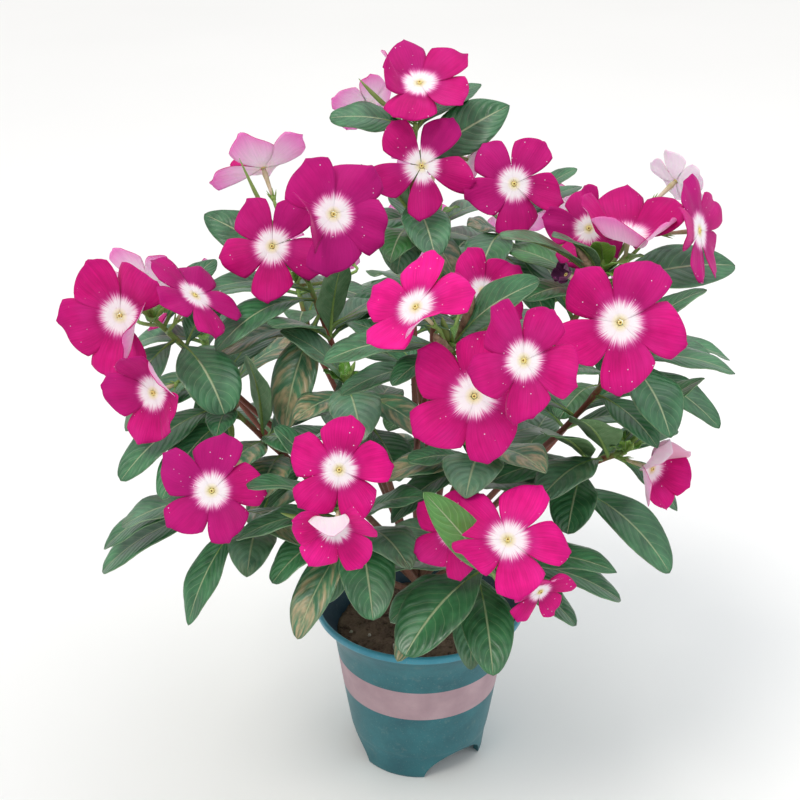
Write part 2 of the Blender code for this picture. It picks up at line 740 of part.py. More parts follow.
def paired_leaves(path, count, lowest, rng):
    """Opposite pairs from the lowest place up a shoot, each a quarter turn on from the last."""
    leaves = []
    for i in range(count):
        s = lowest + (0.98 - lowest) * (i + 0.5) / count
        base = curve_through(path, s)
        along = curve_through(path, s + 0.02) - curve_through(path, s - 0.02)
        lean = math.degrees(math.atan2(along.x, -along.y))
        for half in (0, 1):
            heading = lean + 45.0 + 90.0 * i + 180.0 * half + rng.uniform(-12.0, 12.0)
            pitch = rng.uniform(-6.0, 24.0)
            length = rng.uniform(50.0, 62.0)
            tip = base + direction(heading, pitch) * length
            leaves.append(Leaf(base, tip, rng.uniform(22.0, 27.0), rng.uniform(0.08, 0.15), 0.0))
    return leaves


def pedicel_points(path, flower):
    """From the shoot's upper part to just behind the flower's tube."""
    foot = flower.tube_foot() - flower.face * GAP
    nearest = min((0.5 + 0.02 * k for k in range(26)),
                  key=lambda s: (curve_through(path, s) - foot).length)
    start = curve_through(path, nearest - 0.04 if nearest > 0.6 else nearest)
    bend = foot - flower.face * min(6.0, 0.4 * (foot - start).length)
    middle = 0.5 * (start + bend) - Vector((0.0, 0.0, 0.06 * (bend - start).length))
    return [start, middle, bend, foot]


def spike_rings(path, s, tip, radius):
    """A slim four-sided pod, bud or stub from the shoot's middle to its tip."""
    base = curve_through(path, s)
    tip = Vector(tip)
    along = (tip - base).normalized()
    side = along.orthogonal().normalized()
    other = along.cross(side)
    rings = []
    for share, size in ((0.0, 0.6), (0.6, 1.0), (1.0, 0.25)):
        centre = base.lerp(tip, share)
        rings.append([centre + side * size * radius, centre + other * size * radius,
                      centre - side * size * radius, centre - other * size * radius])
    return rings


def main():
    clear_scene()
    rng = random.Random(SEED)
    parts = new_collection("potted_periwinkle")
    cutters = new_collection("cutters")
    plastic = new_material("pot_plastic", (0.029, 0.165, 0.185), 0.45)
    earth = new_material("potting_soil", (0.075, 0.045, 0.035), 0.95)
    bark = new_material("stem_bark", (0.16, 0.07, 0.05), 0.7)
    foliage = new_material("leaf_green", (0.045, 0.13, 0.055), 0.5)
    petals = new_material("petal_magenta", (0.72, 0.01, 0.20), 0.55)

    build_pot(parts, cutters, plastic)
    build_soil(parts, cutters, earth)
    main_line = [Vector((0.0, 0.0, STEM_FOOT)), Vector((0.0, 0.0, STEM_TOP))]
    tube("main_stem", main_line, STEM_RADIUS, 3, parts, bark)

    paths = {name: shoot_path(spec) for name, spec in SHOOTS.items()}
    flowers = {name: [Flower(*row) for row in spec["flowers"]] for name, spec in SHOOTS.items()}
    thicket = Thicket()
    for name, path in paths.items():
        thicket.add(name, *rod_sheet([curve_through(path, k / 8) for k in range(9)], 3.8))
        for flower in flowers[name]:
            add_flower(thicket, name, flower)
            thicket.add(name, *rod_sheet(pedicel_points(path, flower), 2.6))
    leaves = {name: [] for name in SHOOTS}
    for name, spec in SHOOTS.items():
        for s, tip, width, arch, roll in spec["leaves"]:
            wish = Leaf(curve_through(paths[name], s), Vector(tip), width, arch, roll)
            leaf = place_leaf(thicket, name, wish, False)
            if leaf:
                leaves[name].append(leaf)
    for name, spec in SHOOTS.items():
        for wish in paired_leaves(paths[name], spec["pairs"], spec.get("lowest", 0.42), rng):
            leaf = place_leaf(thicket, name, wish, True)
            if leaf:
                leaves[name].append(leaf)

    for name, spec in SHOOTS.items():
        path = paths[name]
        stem_points = [curve_through(path, k / 8) for k in range(9)]
        shoot = tube("shoot_" + name, stem_points, SHOOT_RADIUS, 1, parts, foliage)
        growth = bpy.data.collections.new("growth_" + name)
        cutters.children.link(growth)
        for k, leaf in enumerate(leaves[name]):
            as_guide(loft(f"{name}_leaf_{k}", leaf.rings(), growth))
        for k, flower in enumerate(flowers[name]):
            stalk = pedicel_points(path, flower)
            as_guide(tube(f"{name}_pedicel_{k}", stalk, PEDICEL_RADIUS, 0, growth))
            loft(f"flower_{name}_{k + 1}", flower.rings(), parts, petals)
        for k, (s, tip, radius) in enumerate(spec["spikes"]):
            as_guide(loft(f"{name}_spike_{k}", spike_rings(path, s, tip, radius), growth))
        join = shoot.modifiers.new("growth", "BOOLEAN")
        join.operation = "UNION"
        join.solver = "EXACT"
        join.operand_type = "COLLECTION"
        join.collection = growth


main()
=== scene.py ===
"""Looks of a potted periwinkle: leafy shoots, five-petalled flowers, soil and a flared nursery pot.

Lengths are in millimetres and angles in degrees; MM turns a length into metres. A heading is an
angle in plan, 0 towards -Y and 90 towards +X. An elevation is an angle above the horizontal.
"""

import math
import random

import bmesh
import bpy
from mathutils import Matrix, Vector, noise
from mathutils.bvhtree import BVHTree


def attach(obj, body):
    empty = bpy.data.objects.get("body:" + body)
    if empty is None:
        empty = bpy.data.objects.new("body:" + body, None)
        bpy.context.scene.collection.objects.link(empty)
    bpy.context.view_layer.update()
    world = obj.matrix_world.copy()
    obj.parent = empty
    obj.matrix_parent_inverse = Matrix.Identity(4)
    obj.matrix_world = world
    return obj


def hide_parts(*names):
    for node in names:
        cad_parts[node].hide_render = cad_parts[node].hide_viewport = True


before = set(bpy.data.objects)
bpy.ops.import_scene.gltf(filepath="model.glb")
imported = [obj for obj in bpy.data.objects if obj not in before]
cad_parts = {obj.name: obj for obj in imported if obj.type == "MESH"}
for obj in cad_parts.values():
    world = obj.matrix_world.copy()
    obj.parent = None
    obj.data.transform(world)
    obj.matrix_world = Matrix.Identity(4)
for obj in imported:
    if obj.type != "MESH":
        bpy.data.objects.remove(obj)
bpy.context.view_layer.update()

MM = 0.001

# Pot, soil and main stem
LIP_RADIUS = 65.0
WALL = 1.8
BASE_RADIUS = 40.5
SOLE_WIDTH = 4.0
FLOOR_UNDERSIDE = 19.0
FLOOR_TOP = 21.5
BODY_PROFILE = [(0.0, 40.5), (16.0, 42.6), (22.0, 44.0), (50.0, 48.4), (80.0, 52.6), (88.0, 54.2)]
FLARE_PROFILE = [(94.0, 57.2), (99.0, 60.6), (103.0, 63.4)]
LIP_UNDERSIDE = 102.9
BAND_BOTTOM = 51.0
BAND_TOP = 73.0
NOTCH_HEADINGS = (36.0, 156.0, -84.0)
NOTCH_HALF_WIDTH = 21.5
NOTCH_HEIGHT = 17.0
DRAIN_HOLE_RADIUS = 4.0
DRAIN_HOLE_CIRCLE = 25.0
DRAIN_HOLES = 5
SOIL_EDGE_HEIGHT = 86.0
SOIL_CENTRE_HEIGHT = 91.0
STEM_RADIUS = 4.5
STEM_FOOT = 62.0
STEM_TOP = 165.0
GAP = 0.3

# Shoots, leaves and flowers
SHOOT_RADIUS = 2.0
PETIOLE_END = 0.10
TUBE_LENGTH = 20.0
EYE_HINGE = 0.20
SINUS = 0.64
CLEARANCE = 1.9
OFFSETS = (0.0, -CLEARANCE, CLEARANCE)
# Places along a leaf where its sheet is tried: the blade, the stalk, and the whole once placed
BLADE = (0.25, 0.4, 0.55, 0.7, 0.85, 1.0)
STALK = (0.06, 0.16, 0.25)
WHOLE_LEAF = (0.12, 0.3, 0.5, 0.7, 0.85, 1.0)
TWIST_STEPS = (0, 7, -7, 14, -14, 22, -22, 30, -30)
REACH = 176.0
LOWEST_TIP = 128.0
SHOOT_ROOM = 3.8
PEDICEL_ROOM = 2.6
USUAL_LOWEST = 0.42
SEED = 7

# A leaf's side veins: how many a side, how far they slant and bend forward, counted in the gaps
# between them, and how far the two sides are staggered
LATERALS = 11.0
LATERAL_SLANT = 1.9
LATERAL_BEND = 1.2
LATERAL_STAGGER = 0.35

# Fine pieces
LEAF_THICKNESS = 0.45
PETAL_THICKNESS = 0.32
CRUMBS = 420
CRUMB_SPREAD = 50.0

# Each shoot: the height where it leaves the main stem, the points it passes through, then
#   flowers: centre, heading, elevation, spin of the first petal, radius, bend of each petal
#   leaves: place along the shoot (0 to 1), tip, width, arch (part of the length), roll if any
#   spikes: place along the shoot, tip, radius (pods, buds and stubs)
#   pairs: opposite pairs of leaves added by rule where there is room, if not 1
#   lowest: place along the shoot where those pairs begin, if not USUAL_LOWEST
SHOOTS = {
    "top": dict(
        start=166, way=[(-4, 4, 250), (-7, 2, 340), (-4, 5, 408)],
        flowers=[
            ((-2, 2, 431), -5, 66, 48, 28, (22, 20, 66, 5, 5)),
            ((-30, 30, 411), -150, 25, 20, 19, (20, 15, 30, 20, 15)),
            ((-1, -22, 393), 0, 24, 62, 27, (0, 3, 0, 4, 2)),
            ((25, 10, 386), 92, -12, 30, 20, (30, 25, 20, 30, 30)),
        ],
        leaves=[
            (0.97, (-50, -2, 413), 22, 0.10, 30), (0.86, (50, 10, 410), 28, 0.06, -48),
            (0.97, (32, 28, 423), 20, 0.08), (0.74, (-32, -12, 390), 26, 0.08, -20),
            (0.76, (6, -48, 352), 25, 0.14), (0.70, (-14, -30, 335), 22, 0.12),
            (0.72, (18, -30, 332), 20, 0.12),
        ],
        spikes=[(0.99, (-34, -8, 436), 1.2)]),
    "upper_right_of_centre": dict(
        start=150, way=[(18, 2, 230), (36, -2, 310), (46, -4, 352)],
        flowers=[((48, -22, 383), 5, 28, 60, 26, (3, 0, 6, 2, 0))],
        leaves=[
            (0.94, (24, -12, 356), 22, 0.10), (0.94, (28, -58, 340), 24, 0.16),
            (1.00, (84, 4, 383), 22, 0.08), (0.97, (88, 18, 368), 22, 0.08),
        ],
        pairs=2),
    "upper_left": dict(
        start=150, way=[(-28, -14, 215), (-49, -28, 290), (-64, -16, 328)],
        flowers=[
            ((-46, -66, 382), 15, 25, 52, 29, (0, 4, 75, 0, 0)),
            ((-80, -38, 354), -8, 25, 59, 28, (20, 0, 0, 3, 0)),
            ((-87, 5, 383), -155, 42, -8, 28, (10, 18, 10, 62, 68)),
        ],
        leaves=[
            (1.00, (-108, 4, 376), 26, 0.08, 35), (0.86, (-110, -66, 314), 26, 0.14),
            (0.80, (-75, -62, 258), 27, 0.10), (0.74, (16, -38, 346), 25, 0.08),
            (0.70, (-56, -22, 345), 22, 0.05), (0.90, (-116, -42, 334), 24, 0.10),
            (0.74, (-114, -44, 290), 24, 0.12), (0.72, (-22, 0, 308), 22, 0.10),
            (0.60, (-32, -52, 258), 24, 0.12),
        ],
        spikes=[(0.98, (-98, -12, 394), 1.2)]),
    "left": dict(
        start=138, way=[(-54, -22, 205), (-105, -40, 270), (-143, -52, 318)],
        flowers=[
            ((-158, -68, 327), -20, 16, 60, 31, (20, 20, 15, 10, 72)),
            ((-119, -62, 336), 80, 54, 18, 27, (6, 5, 4, 0, 8)),
            ((-150, -18, 325), 170, 30, -15, 25, (12, 18, 12, 50, 60)),
        ],
        leaves=[
            (0.86, (-109, -94, 281), 32, 0.14), (0.88, (-158, -88, 282), 28, 0.10),
            (0.96, (-106, -78, 331), 17, 0.10), (0.84, (-112, -20, 318), 22, 0.10),
            (0.78, (-108, -76, 240), 22, 0.10), (0.94, (-116, -8, 340), 18, 0.08),
        ],
        spikes=[(0.99, (-150, -58, 330), 1.6)]),
    "cut_back": dict(
        start=128, way=[(-38, -42, 190), (-82, -60, 246), (-105, -62, 272)],
        flowers=[((-138, -102, 299), -28, 10, 50, 26, (62, 52, 28, 5, 42))],
        leaves=[
            (1.00, (-158, -104, 249), 27, 0.12), (0.88, (-135, -118, 246), 24, 0.14),
            (0.98, (-112, -100, 268), 16, 0.10), (0.72, (-98, -70, 302), 24, 0.06),
            (0.72, (-66, -92, 258), 20, 0.12), (0.58, (-48, -75, 262), 24, 0.10),
            (0.62, (-86, -104, 238), 26, 0.12),
        ],
        spikes=[(0.97, (-100, -78, 284), 3.4), (0.99, (-102, -74, 256), 1.6)]),
    "lower_left": dict(
        start=116, way=[(-40, -48, 160), (-85, -78, 205), (-112, -96, 233)],
        flowers=[((-107, -132, 259), -5, 24, 14, 27, (0, 4, 8, 5, 20))],
        leaves=[
            (0.98, (-158, -112, 226), 24, 0.10), (0.96, (-171, -100, 205), 24, 0.12),
            (0.86, (-174, -96, 188), 28, 0.10), (0.78, (-126, -118, 168), 22, 0.10),
            (0.82, (-62, -128, 224), 26, 0.12),
        ],
        spikes=[(0.97, (-98, -104, 228), 2.0)]),
    "front_left": dict(
        start=122, way=[(-15, -55, 172), (-32, -95, 212), (-42, -122, 238)],
        flowers=[
            ((-42, -150, 281), 0, 28, 15, 25, (0, 3, 0, 2, 0)),
            ((-44, -172, 261), -5, 2, 28, 22, (40, 98, 40, 12, 12)),
        ],
        leaves=[
            (0.98, (-90, -152, 264), 26, 0.12), (0.94, (-93, -132, 217), 24, 0.12),
            (0.80, (-80, -136, 212), 22, 0.12), (0.74, (-66, -142, 176), 22, 0.10),
            (0.74, (-26, -160, 200), 28, 0.14), (0.92, (-70, -112, 288), 24, 0.06),
            (0.60, (-54, -116, 180), 22, 0.10), (0.82, (0, -126, 252), 22, 0.10),
        ],
        spikes=[(0.95, (-72, -142, 252), 1.4)]),
    "front": dict(
        start=112, way=[(18, -50, 150), (32, -90, 185), (37, -118, 206)],
        flowers=[
            ((14, -142, 241), -30, 22, 20, 22, (10, 5, 10, 5, 20)),
            ((40, -166, 251), 0, 56, -2, 29, (0, 20, 0, 30, 10)),
            ((57, -166, 221), 28, -14, 20, 17, (20, 30, 10, 15, 25)),
        ],
        leaves=[
            (0.84, (-10, -160, 178), 34, 0.12), (0.60, (36, -152, 160), 28, 0.12),
            (0.48, (-14, -120, 146), 20, 0.10), (0.52, (20, -122, 142), 20, 0.10),
            (0.70, (82, -118, 168), 25, 0.12), (1.00, (98, -142, 217), 28, 0.12),
            (0.82, (105, -118, 184), 27, 0.12), (0.92, (-4, -138, 262), 22, 0.08),
            (0.46, (-28, -112, 198), 26, 0.10), (0.55, (-20, -100, 170), 26, 0.10),
        ]),
    "middle": dict(
        start=132, way=[(15, -45, 190), (26, -85, 240), (30, -105, 264)],
        leaves=[
            (0.97, (20, -150, 254), 30, 0.16), (0.99, (60, -146, 264), 28, 0.14),
            (0.85, (-24, -112, 254), 26, 0.10), (0.75, (36, -126, 278), 20, 0.06),
            (0.90, (-8, -118, 268), 20, 0.08),
        ],
        pairs=2),
    "centre": dict(
        start=148, way=[(-4, -35, 215), (2, -72, 285), (14, -104, 325)],
        flowers=[
            ((23, -148, 320), -5, 20, 10, 31, (3, 0, 2, 0, 4)),
            ((44, -172, 350), -36, 24, 3, 27, (0, 10, 0, 5, 5)),
            ((-5, -136, 361), -42, 46, 44, 27, (0, 4, 0, 22, 56)),
            ((30, -76, 344), 30, 40, 30, 22, (20, 10, 30, 20, 10)),
        ],
        leaves=[
            (0.96, (-50, -116, 323), 27, 0.12), (0.92, (-16, -132, 318), 17, 0.10),
            (0.80, (-42, -110, 302), 24, 0.10), (1.00, (54, -126, 370), 25, 0.10, -40),
            (0.98, (-14, -122, 338), 20, 0.10),
        ],
        spikes=[
            (1.00, (24, -110, 356), 2.4), (0.99, (4, -124, 342), 2.6), (0.98, (8, -118, 348), 2.0),
        ]),
    "inner_left": dict(
        start=136, way=[(-20, -27, 210), (-32, -52, 264), (-42, -60, 284)],
        leaves=[
            (1.00, (-32, -104, 272), 27, 0.14), (0.80, (-76, -70, 274), 24, 0.10),
            (0.60, (-46, -92, 250), 24, 0.10),
        ],
        pairs=2),
    "upper_right": dict(
        start=156, way=[(34, -22, 220), (68, -46, 292), (92, -62, 347)],
        flowers=[
            ((104, -66, 371), 10, 76, 20, 30, (44, 30, 46, 64, 62)),
            ((87, -38, 364), -14, 26, 40, 22, (10, 5, 10, 20, 15)),
            ((141, -60, 371), 62, 15, 90, 27, (0, 10, 5, 0, 10)),
            ((134, -20, 384), 132, 24, 90, 18, (20, 15, 10, 20, 15)),
            ((71, -86, 357), -60, 30, 0, 8, (70, 76, 70, 76, 70)),
        ],
        leaves=[
            (0.96, (38, -78, 374), 30, 0.10), (0.92, (48, -30, 370), 24, 0.08),
            (0.80, (58, -12, 360), 24, 0.08), (0.98, (58, -92, 368), 20, 0.12),
            (0.92, (167, -30, 350), 27, 0.10, -35), (0.97, (134, -18, 346), 22, 0.10),
            (0.90, (50, -92, 346), 22, 0.10), (1.00, (88, -76, 368), 13, 0.16),
            (1.00, (101, -76, 362), 12, 0.16),
        ],
        spikes=[(0.99, (76, -78, 369), 2.2)]),
    "right": dict(
        start=136, way=[(42, -38, 205), (78, -70, 265), (102, -92, 314)],
        flowers=[((92, -136, 353), 0, 26, 66, 31, (0, 3, 0, 0, 0))],
        leaves=[
            (1.00, (142, -86, 349), 23, 0.12), (0.98, (158, -98, 308), 26, 0.10),
            (0.99, (122, -136, 296), 29, 0.14), (0.88, (66, -104, 310), 24, 0.12),
            (0.80, (118, -118, 276), 22, 0.10),
        ]),
    "lower_right": dict(
        start=122, way=[(45, -34, 175), (88, -66, 235), (108, -80, 253)],
        flowers=[((119, -102, 255), 42, 6, 50, 22, (60, 70, 55, 50, 65))],
        leaves=[
            (0.82, (87, -90, 297), 27, 0.06), (0.86, (148, -72, 293), 25, 0.08),
            (0.78, (58, -116, 242), 28, 0.12), (0.66, (76, -106, 218), 25, 0.12),
            (0.58, (134, -96, 187), 31, 0.12), (0.86, (136, -92, 224), 18, 0.10),
            (0.70, (54, -92, 284), 26, 0.08),
        ],
        spikes=[(0.90, (118, -78, 268), 1.4)]),
    "right_side": dict(
        start=128, way=[(60, 12, 185), (104, 28, 235), (122, 34, 262)],
        flowers=[((128, 46, 288), 110, 34, 40, 26, (4, 8, 5, 10, 4))],
        leaves=[(0.95, (186, 38, 260), 26, 0.12), (0.80, (172, -12, 232), 26, 0.12)],
        pairs=4, lowest=0.24),
    "left_side": dict(
        start=124, way=[(-62, 8, 180), (-110, 20, 236), (-130, 28, 272)],
        flowers=[((-142, 38, 294), -105, 34, 10, 26, (6, 4, 8, 5, 10))],
        leaves=[(0.95, (-175, 42, 258), 26, 0.12), (0.80, (-172, -8, 228), 26, 0.12)],
        pairs=4, lowest=0.24),
    "back_left": dict(
        start=134, way=[(-34, 42, 190), (-66, 86, 240), (-78, 104, 276)],
        flowers=[
            ((-88, 122, 303), -140, 35, 20, 27, (5, 8, 4, 10, 6)),
            ((-48, 146, 286), -162, 25, 50, 25, (8, 4, 10, 5, 6)),
        ],
        spikes=[(0.98, (-70, 94, 292), 1.6)],
        pairs=5, lowest=0.24),
    "back": dict(
        start=118, way=[(4, 52, 172), (-2, 105, 222), (-4, 132, 262)],
        flowers=[((-2, 158, 290), 178, 28, 0, 27, (4, 6, 10, 5, 8))],
        leaves=[(0.95, (-30, 186, 246), 26, 0.12), (0.80, (32, 184, 214), 26, 0.12)],
        pairs=5, lowest=0.24),
    "back_right": dict(
        start=140, way=[(36, 40, 200), (72, 84, 252), (88, 104, 288)],
        flowers=[
            ((98, 120, 316), 142, 38, 30, 27, (6, 4, 8, 5, 10)),
            ((60, 138, 312), 165, 25, 10, 25, (10, 5, 6, 8, 4)),
        ],
        spikes=[(0.98, (80, 94, 306), 1.6)],
        pairs=5, lowest=0.24),
    "upper_back": dict(
        start=158, way=[(6, 26, 235), (8, 48, 300), (8, 60, 334)],
        flowers=[((8, 80, 362), 172, 50, 40, 26, (6, 10, 5, 8, 4))],
        pairs=4),
}

# How each listed leaf of a shoot looks, in the order of its list: g green, d deep green, p pale
# with a strong painted silvery sheen, t blotched with tan, y young. A leaf added by rule draws its
# own.
LEAF_LOOKS = {
    "top": "gggggpt", "upper_right_of_centre": "tggg", "upper_left": "ggttggtpg", "left": "ggyggg",
    "cut_back": "ggggggt", "lower_left": "pgggt", "front_left": "gggtggpg", "front": "ggtpgggggg",
    "middle": "pttgg", "centre": "ggggg", "inner_left": "ptp", "upper_right": "gdgggggyy",
    "right": "ggggg", "lower_right": "ddpgggd", "right_side": "gg", "left_side": "gp", "back": "gg",
}
# The numbers of a look: yellow-green of youth, tan of dry patches, share of painted silvery sheen
# over the green.
LOOK_VALUES = {
    "g": (0.0, 0.0, 0.45), "d": (0.12, 0.0, 0.1), "p": (0.0, 0.12, 0.95), "t": (0.0, 0.8, 0.75),
    "y": (0.9, 0.0, 0.5),
}
# Half width of a petal as a share of its length.
PETAL_BREADTHS = {
    "top_3": 0.36, "top_1": 0.47, "upper_left_1": 0.5, "upper_left_2": 0.4, "left_1": 0.5,
    "upper_right_1": 0.5, "lower_right_1": 0.5,
}
USUAL_BREADTH = 0.43
# Brightness of a flower's colour; the others draw their own.
FLOWER_TONES = {
    "upper_left_1": 0.8, "left_2": 0.84, "upper_right_3": 0.84, "lower_left_1": 0.88,
    "top_1": 0.88, "top_3": 0.86, "centre_1": 0.94, "centre_2": 0.96, "centre_3": 1.3,
    "front_2": 1.2, "front_left_1": 1.14, "front_left_2": 1.14, "cut_back_1": 0.95,
}
# Length of the small leaves in the tuft at a shoot's end.
TUFT_SIZES = {"upper_right": 23.0}
USUAL_TUFT = 14.0
# A young leaf on a long stalk at a shoot's end: foot of the blade, tip, width, arch, roll.
LONG_STALKED = {"front": ((38, -148, 214), (-1, -165, 277), 19, 0.06, 75)}
# How white each petal is; below 0 is withered to a dull purple.
PALE_PETALS = {
    "lower_right_1": (0.75, 0.85, 0.3, 0.0, 0.0), "upper_right_4": (0.8,) * 5,
    "front_left_2": (0.0, 0.65, 0.0, 0.0, 0.0), "upper_right_5": (-1.0,) * 5,
}


def curve_through(points, s):
    """Point at s (0 to 1) on a smooth curve through the points."""
    spans = len(points) - 1
    place = min(max(s, 0.0), 1.0) * spans
    first = min(int(place), spans - 1)
    t = place - first
    a = points[max(first - 1, 0)]
    b = points[first]
    c = points[first + 1]
    d = points[min(first + 2, spans)]
    return 0.5 * (2 * b + (c - a) * t + (2 * a - 5 * b + 4 * c - d) * t * t
                  + (3 * b - a - 3 * c + d) * t * t * t)


def direction(heading, elevation):
    """A unit vector from a heading and an elevation."""
    h = math.radians(heading)
    e = math.radians(elevation)
    return Vector((math.sin(h) * math.cos(e), -math.cos(h) * math.cos(e), math.sin(e)))


def wall_radius(height):
    """Outer radius of the pot's wall at a height."""
    profile = BODY_PROFILE + FLARE_PROFILE
    for (z0, r0), (z1, r1) in zip(profile, profile[1:]):
        if height <= z1:
            return r0 + (r1 - r0) * (height - z0) / (z1 - z0)
    return profile[-1][1]


def shoot_path(spec):
    """The points of a shoot, starting just clear of the main stem."""
    way = [Vector(point) for point in spec["way"]]
    if spec["start"] > STEM_TOP:
        return [Vector((0.0, 0.0, spec["start"]))] + way
    outward = Vector((way[0].x, way[0].y, 0.0)).normalized()
    start = outward * (STEM_RADIUS + SHOOT_RADIUS + 0.6)
    start.z = spec["start"]
    return [start] + way


class Flower:
    """A five-petalled flower on a slender tube: its eye's centre and the way it faces."""

    def __init__(self, centre, heading, elevation, spin, radius, bends):
        self.centre = Vector(centre)
        self.face = direction(heading, elevation)
        self.right = direction(heading + 90.0, 0.0)
        self.up = self.face.cross(self.right)
        self.spin = spin
        self.radius = radius
        self.bends = bends

    def ray(self, angle):
        """The way out from the eye at an angle round it."""
        a = math.radians(angle)
        return self.right * math.cos(a) + self.up * math.sin(a)

    def tube_foot(self):
        return self.centre - self.face * TUBE_LENGTH

    def outline(self):
        """Angle, radius and bend of the fifteen points round the corolla."""
        points = []
        for k in range(5):
            middle = self.spin + 72.0 * k
            bend = self.bends[k]
            shared = 0.5 * (bend + self.bends[(k + 1) % 5])
            points.append((middle - 17.0, self.radius * 0.98, bend))
            points.append((middle + 17.0, self.radius, bend))
            points.append((middle + 36.0, self.radius * SINUS, shared))
        return points


class Leaf:
    """A blade that arches from its base on the shoot to its tip."""

    def __init__(self, base, tip, width, arch, roll=0.0):
        self.base = base
        self.tip = tip
        self.width = width
        self.arch = arch
        self.roll = roll
        chord = tip - base
        side = chord.cross(Vector((0.0, 0.0, 1.0)))
        if side.length < 0.15 * chord.length:
            side = chord.cross(Vector((base.x, base.y, 0.0)))
        side.normalize()
        top = side.cross(chord).normalized()
        r = math.radians(roll)
        self.side = side * math.cos(r) + top * math.sin(r)
        top = top * math.cos(r) - side * math.sin(r)
        self.knee = 0.5 * (base + tip) + top * (2.0 * arch * chord.length)

    def surface(self, s, q):
        """Point on the blade: s from base to tip, q from -1 to 1 across; and its normal."""
        middle = (self.base * (1.0 - s) ** 2 + self.knee * (2.0 * s * (1.0 - s))
                  + self.tip * s * s)
        along = ((self.knee - self.base) * (1.0 - s) + (self.tip - self.knee) * s).normalized()
        normal = self.side.cross(along)
        half = 0.5 * self.width * blade_share(s)
        return middle + self.side * (q * half) + normal * (0.22 * abs(q) * half), normal


def blade_share(s):
    """Share of the full width at s along a leaf: a slim stalk, then an oblong blade."""
    if s <= PETIOLE_END:
        return 0.09
    u = (s - PETIOLE_END) / (1.0 - PETIOLE_END)
    return 0.09 + 0.91 * math.sin(math.pi * u ** 0.95) ** 0.72 if u < 1.0 else 0.09


class Thicket:
    """Everything placed so far, as thin sheets that a new leaf must stay clear of."""

    def __init__(self):
        self.points = []
        self.faces = []
        self.owners = []
        self.tree = None

    def add(self, owner, points, faces):
        start = len(self.points)
        self.points += points
        self.faces += [tuple(start + i for i in face) for face in faces]
        self.owners += [owner] * len(faces)
        self.tree = None

    def hits(self, points, faces, kin=None):
        """True where a sheet meets anything that isn't part of the kin's own shoot."""
        if self.tree is None:
            self.tree = BVHTree.FromPolygons(self.points, self.faces)
        met = self.tree.overlap(BVHTree.FromPolygons(points, faces))
        return any(self.owners[pair[0]] != kin for pair in met)


def grid_sheet(leaf, stations, offset):
    """The blade between its two edges at some places along it, lifted by an offset."""
    points = []
    for s in stations:
        for q in (-1.0, 0.0, 1.0):
            point, normal = leaf.surface(s, q)
            points.append(point + normal * offset)
    faces = []
    for i in range(len(stations) - 1):
        for j in range(2):
            a = 3 * i + j
            faces.append((a, a + 1, a + 4, a + 3))
    return points, faces


def rod_sheet(points, radius):
    """A three-sided sleeve round a line of points."""
    ring = []
    for i, point in enumerate(points):
        along = (points[min(i + 1, len(points) - 1)] - points[max(i - 1, 0)]).normalized()
        side = along.orthogonal().normalized()
        for k in range(3):
            ring.append(point + Matrix.Rotation(math.radians(120.0 * k), 3, along) @ side * radius)
    faces = []
    for i in range(len(points) - 1):
        for k in range(3):
            a = 3 * i + k
            b = 3 * i + (k + 1) % 3
            faces.append((a, b, b + 3, a + 3))
    return ring, faces


def add_flower(thicket, owner, flower):
    """Two flat discs, one each side of the petals, and a rod for the tube."""
    outline = flower.outline()
    hinge = flower.radius * EYE_HINGE
    for lift in (-CLEARANCE, CLEARANCE):
        points = [flower.centre + flower.face * lift]
        for angle, reach, bend in outline:
            b = math.radians(bend)
            out = hinge + (reach - hinge) * math.cos(b)
            rise = (reach - hinge) * math.sin(b) + lift
            points.append(flower.centre + flower.ray(angle) * out + flower.face * rise)
        count = len(outline)
        thicket.add(owner, points, [(0, 1 + i, 1 + (i + 1) % count) for i in range(count)])
    thicket.add(owner, *rod_sheet([flower.tube_foot(), flower.centre], 3.0))


def place_leaf(thicket, owner, leaf, inside_only):
    """The leaf, turned a little about its base until it is clear of everything else."""
    chord = leaf.tip - leaf.base
    flat = Vector((chord.x, chord.y, 0.0))
    hinge = flat.cross(Vector((0.0, 0.0, 1.0)))
    hinge = hinge.normalized() if hinge.length > 1.0 else Vector((1.0, 0.0, 0.0))
    turns = [(yaw, lift) for yaw in TWIST_STEPS for lift in TWIST_STEPS]
    turns.sort(key=lambda turn: abs(turn[0]) + abs(turn[1]))
    for yaw, lift in turns:
        moved = Matrix.Rotation(math.radians(lift), 3, hinge) @ chord
        moved = Matrix.Rotation(math.radians(yaw), 3, "Z") @ moved
        trial = Leaf(leaf.base, leaf.base + moved, leaf.width, leaf.arch, leaf.roll)
        if inside_only and not within_reach(trial.tip):
            continue
        if any(thicket.hits(*grid_sheet(trial, BLADE, offset)) for offset in OFFSETS):
            continue
        if any(thicket.hits(*grid_sheet(trial, STALK, offset), owner) for offset in OFFSETS):
            continue
        thicket.add(owner, *grid_sheet(trial, WHOLE_LEAF, 0.0))
        return trial
    return None


def within_reach(tip):
    """True inside the plant's outline and clear above the pot."""
    out = math.hypot(tip.x, tip.y)
    over_pot = out < LIP_RADIUS + 15.0
    return out < REACH and tip.z > LOWEST_TIP and not (over_pot and tip.z < LOWEST_TIP + 12.0)


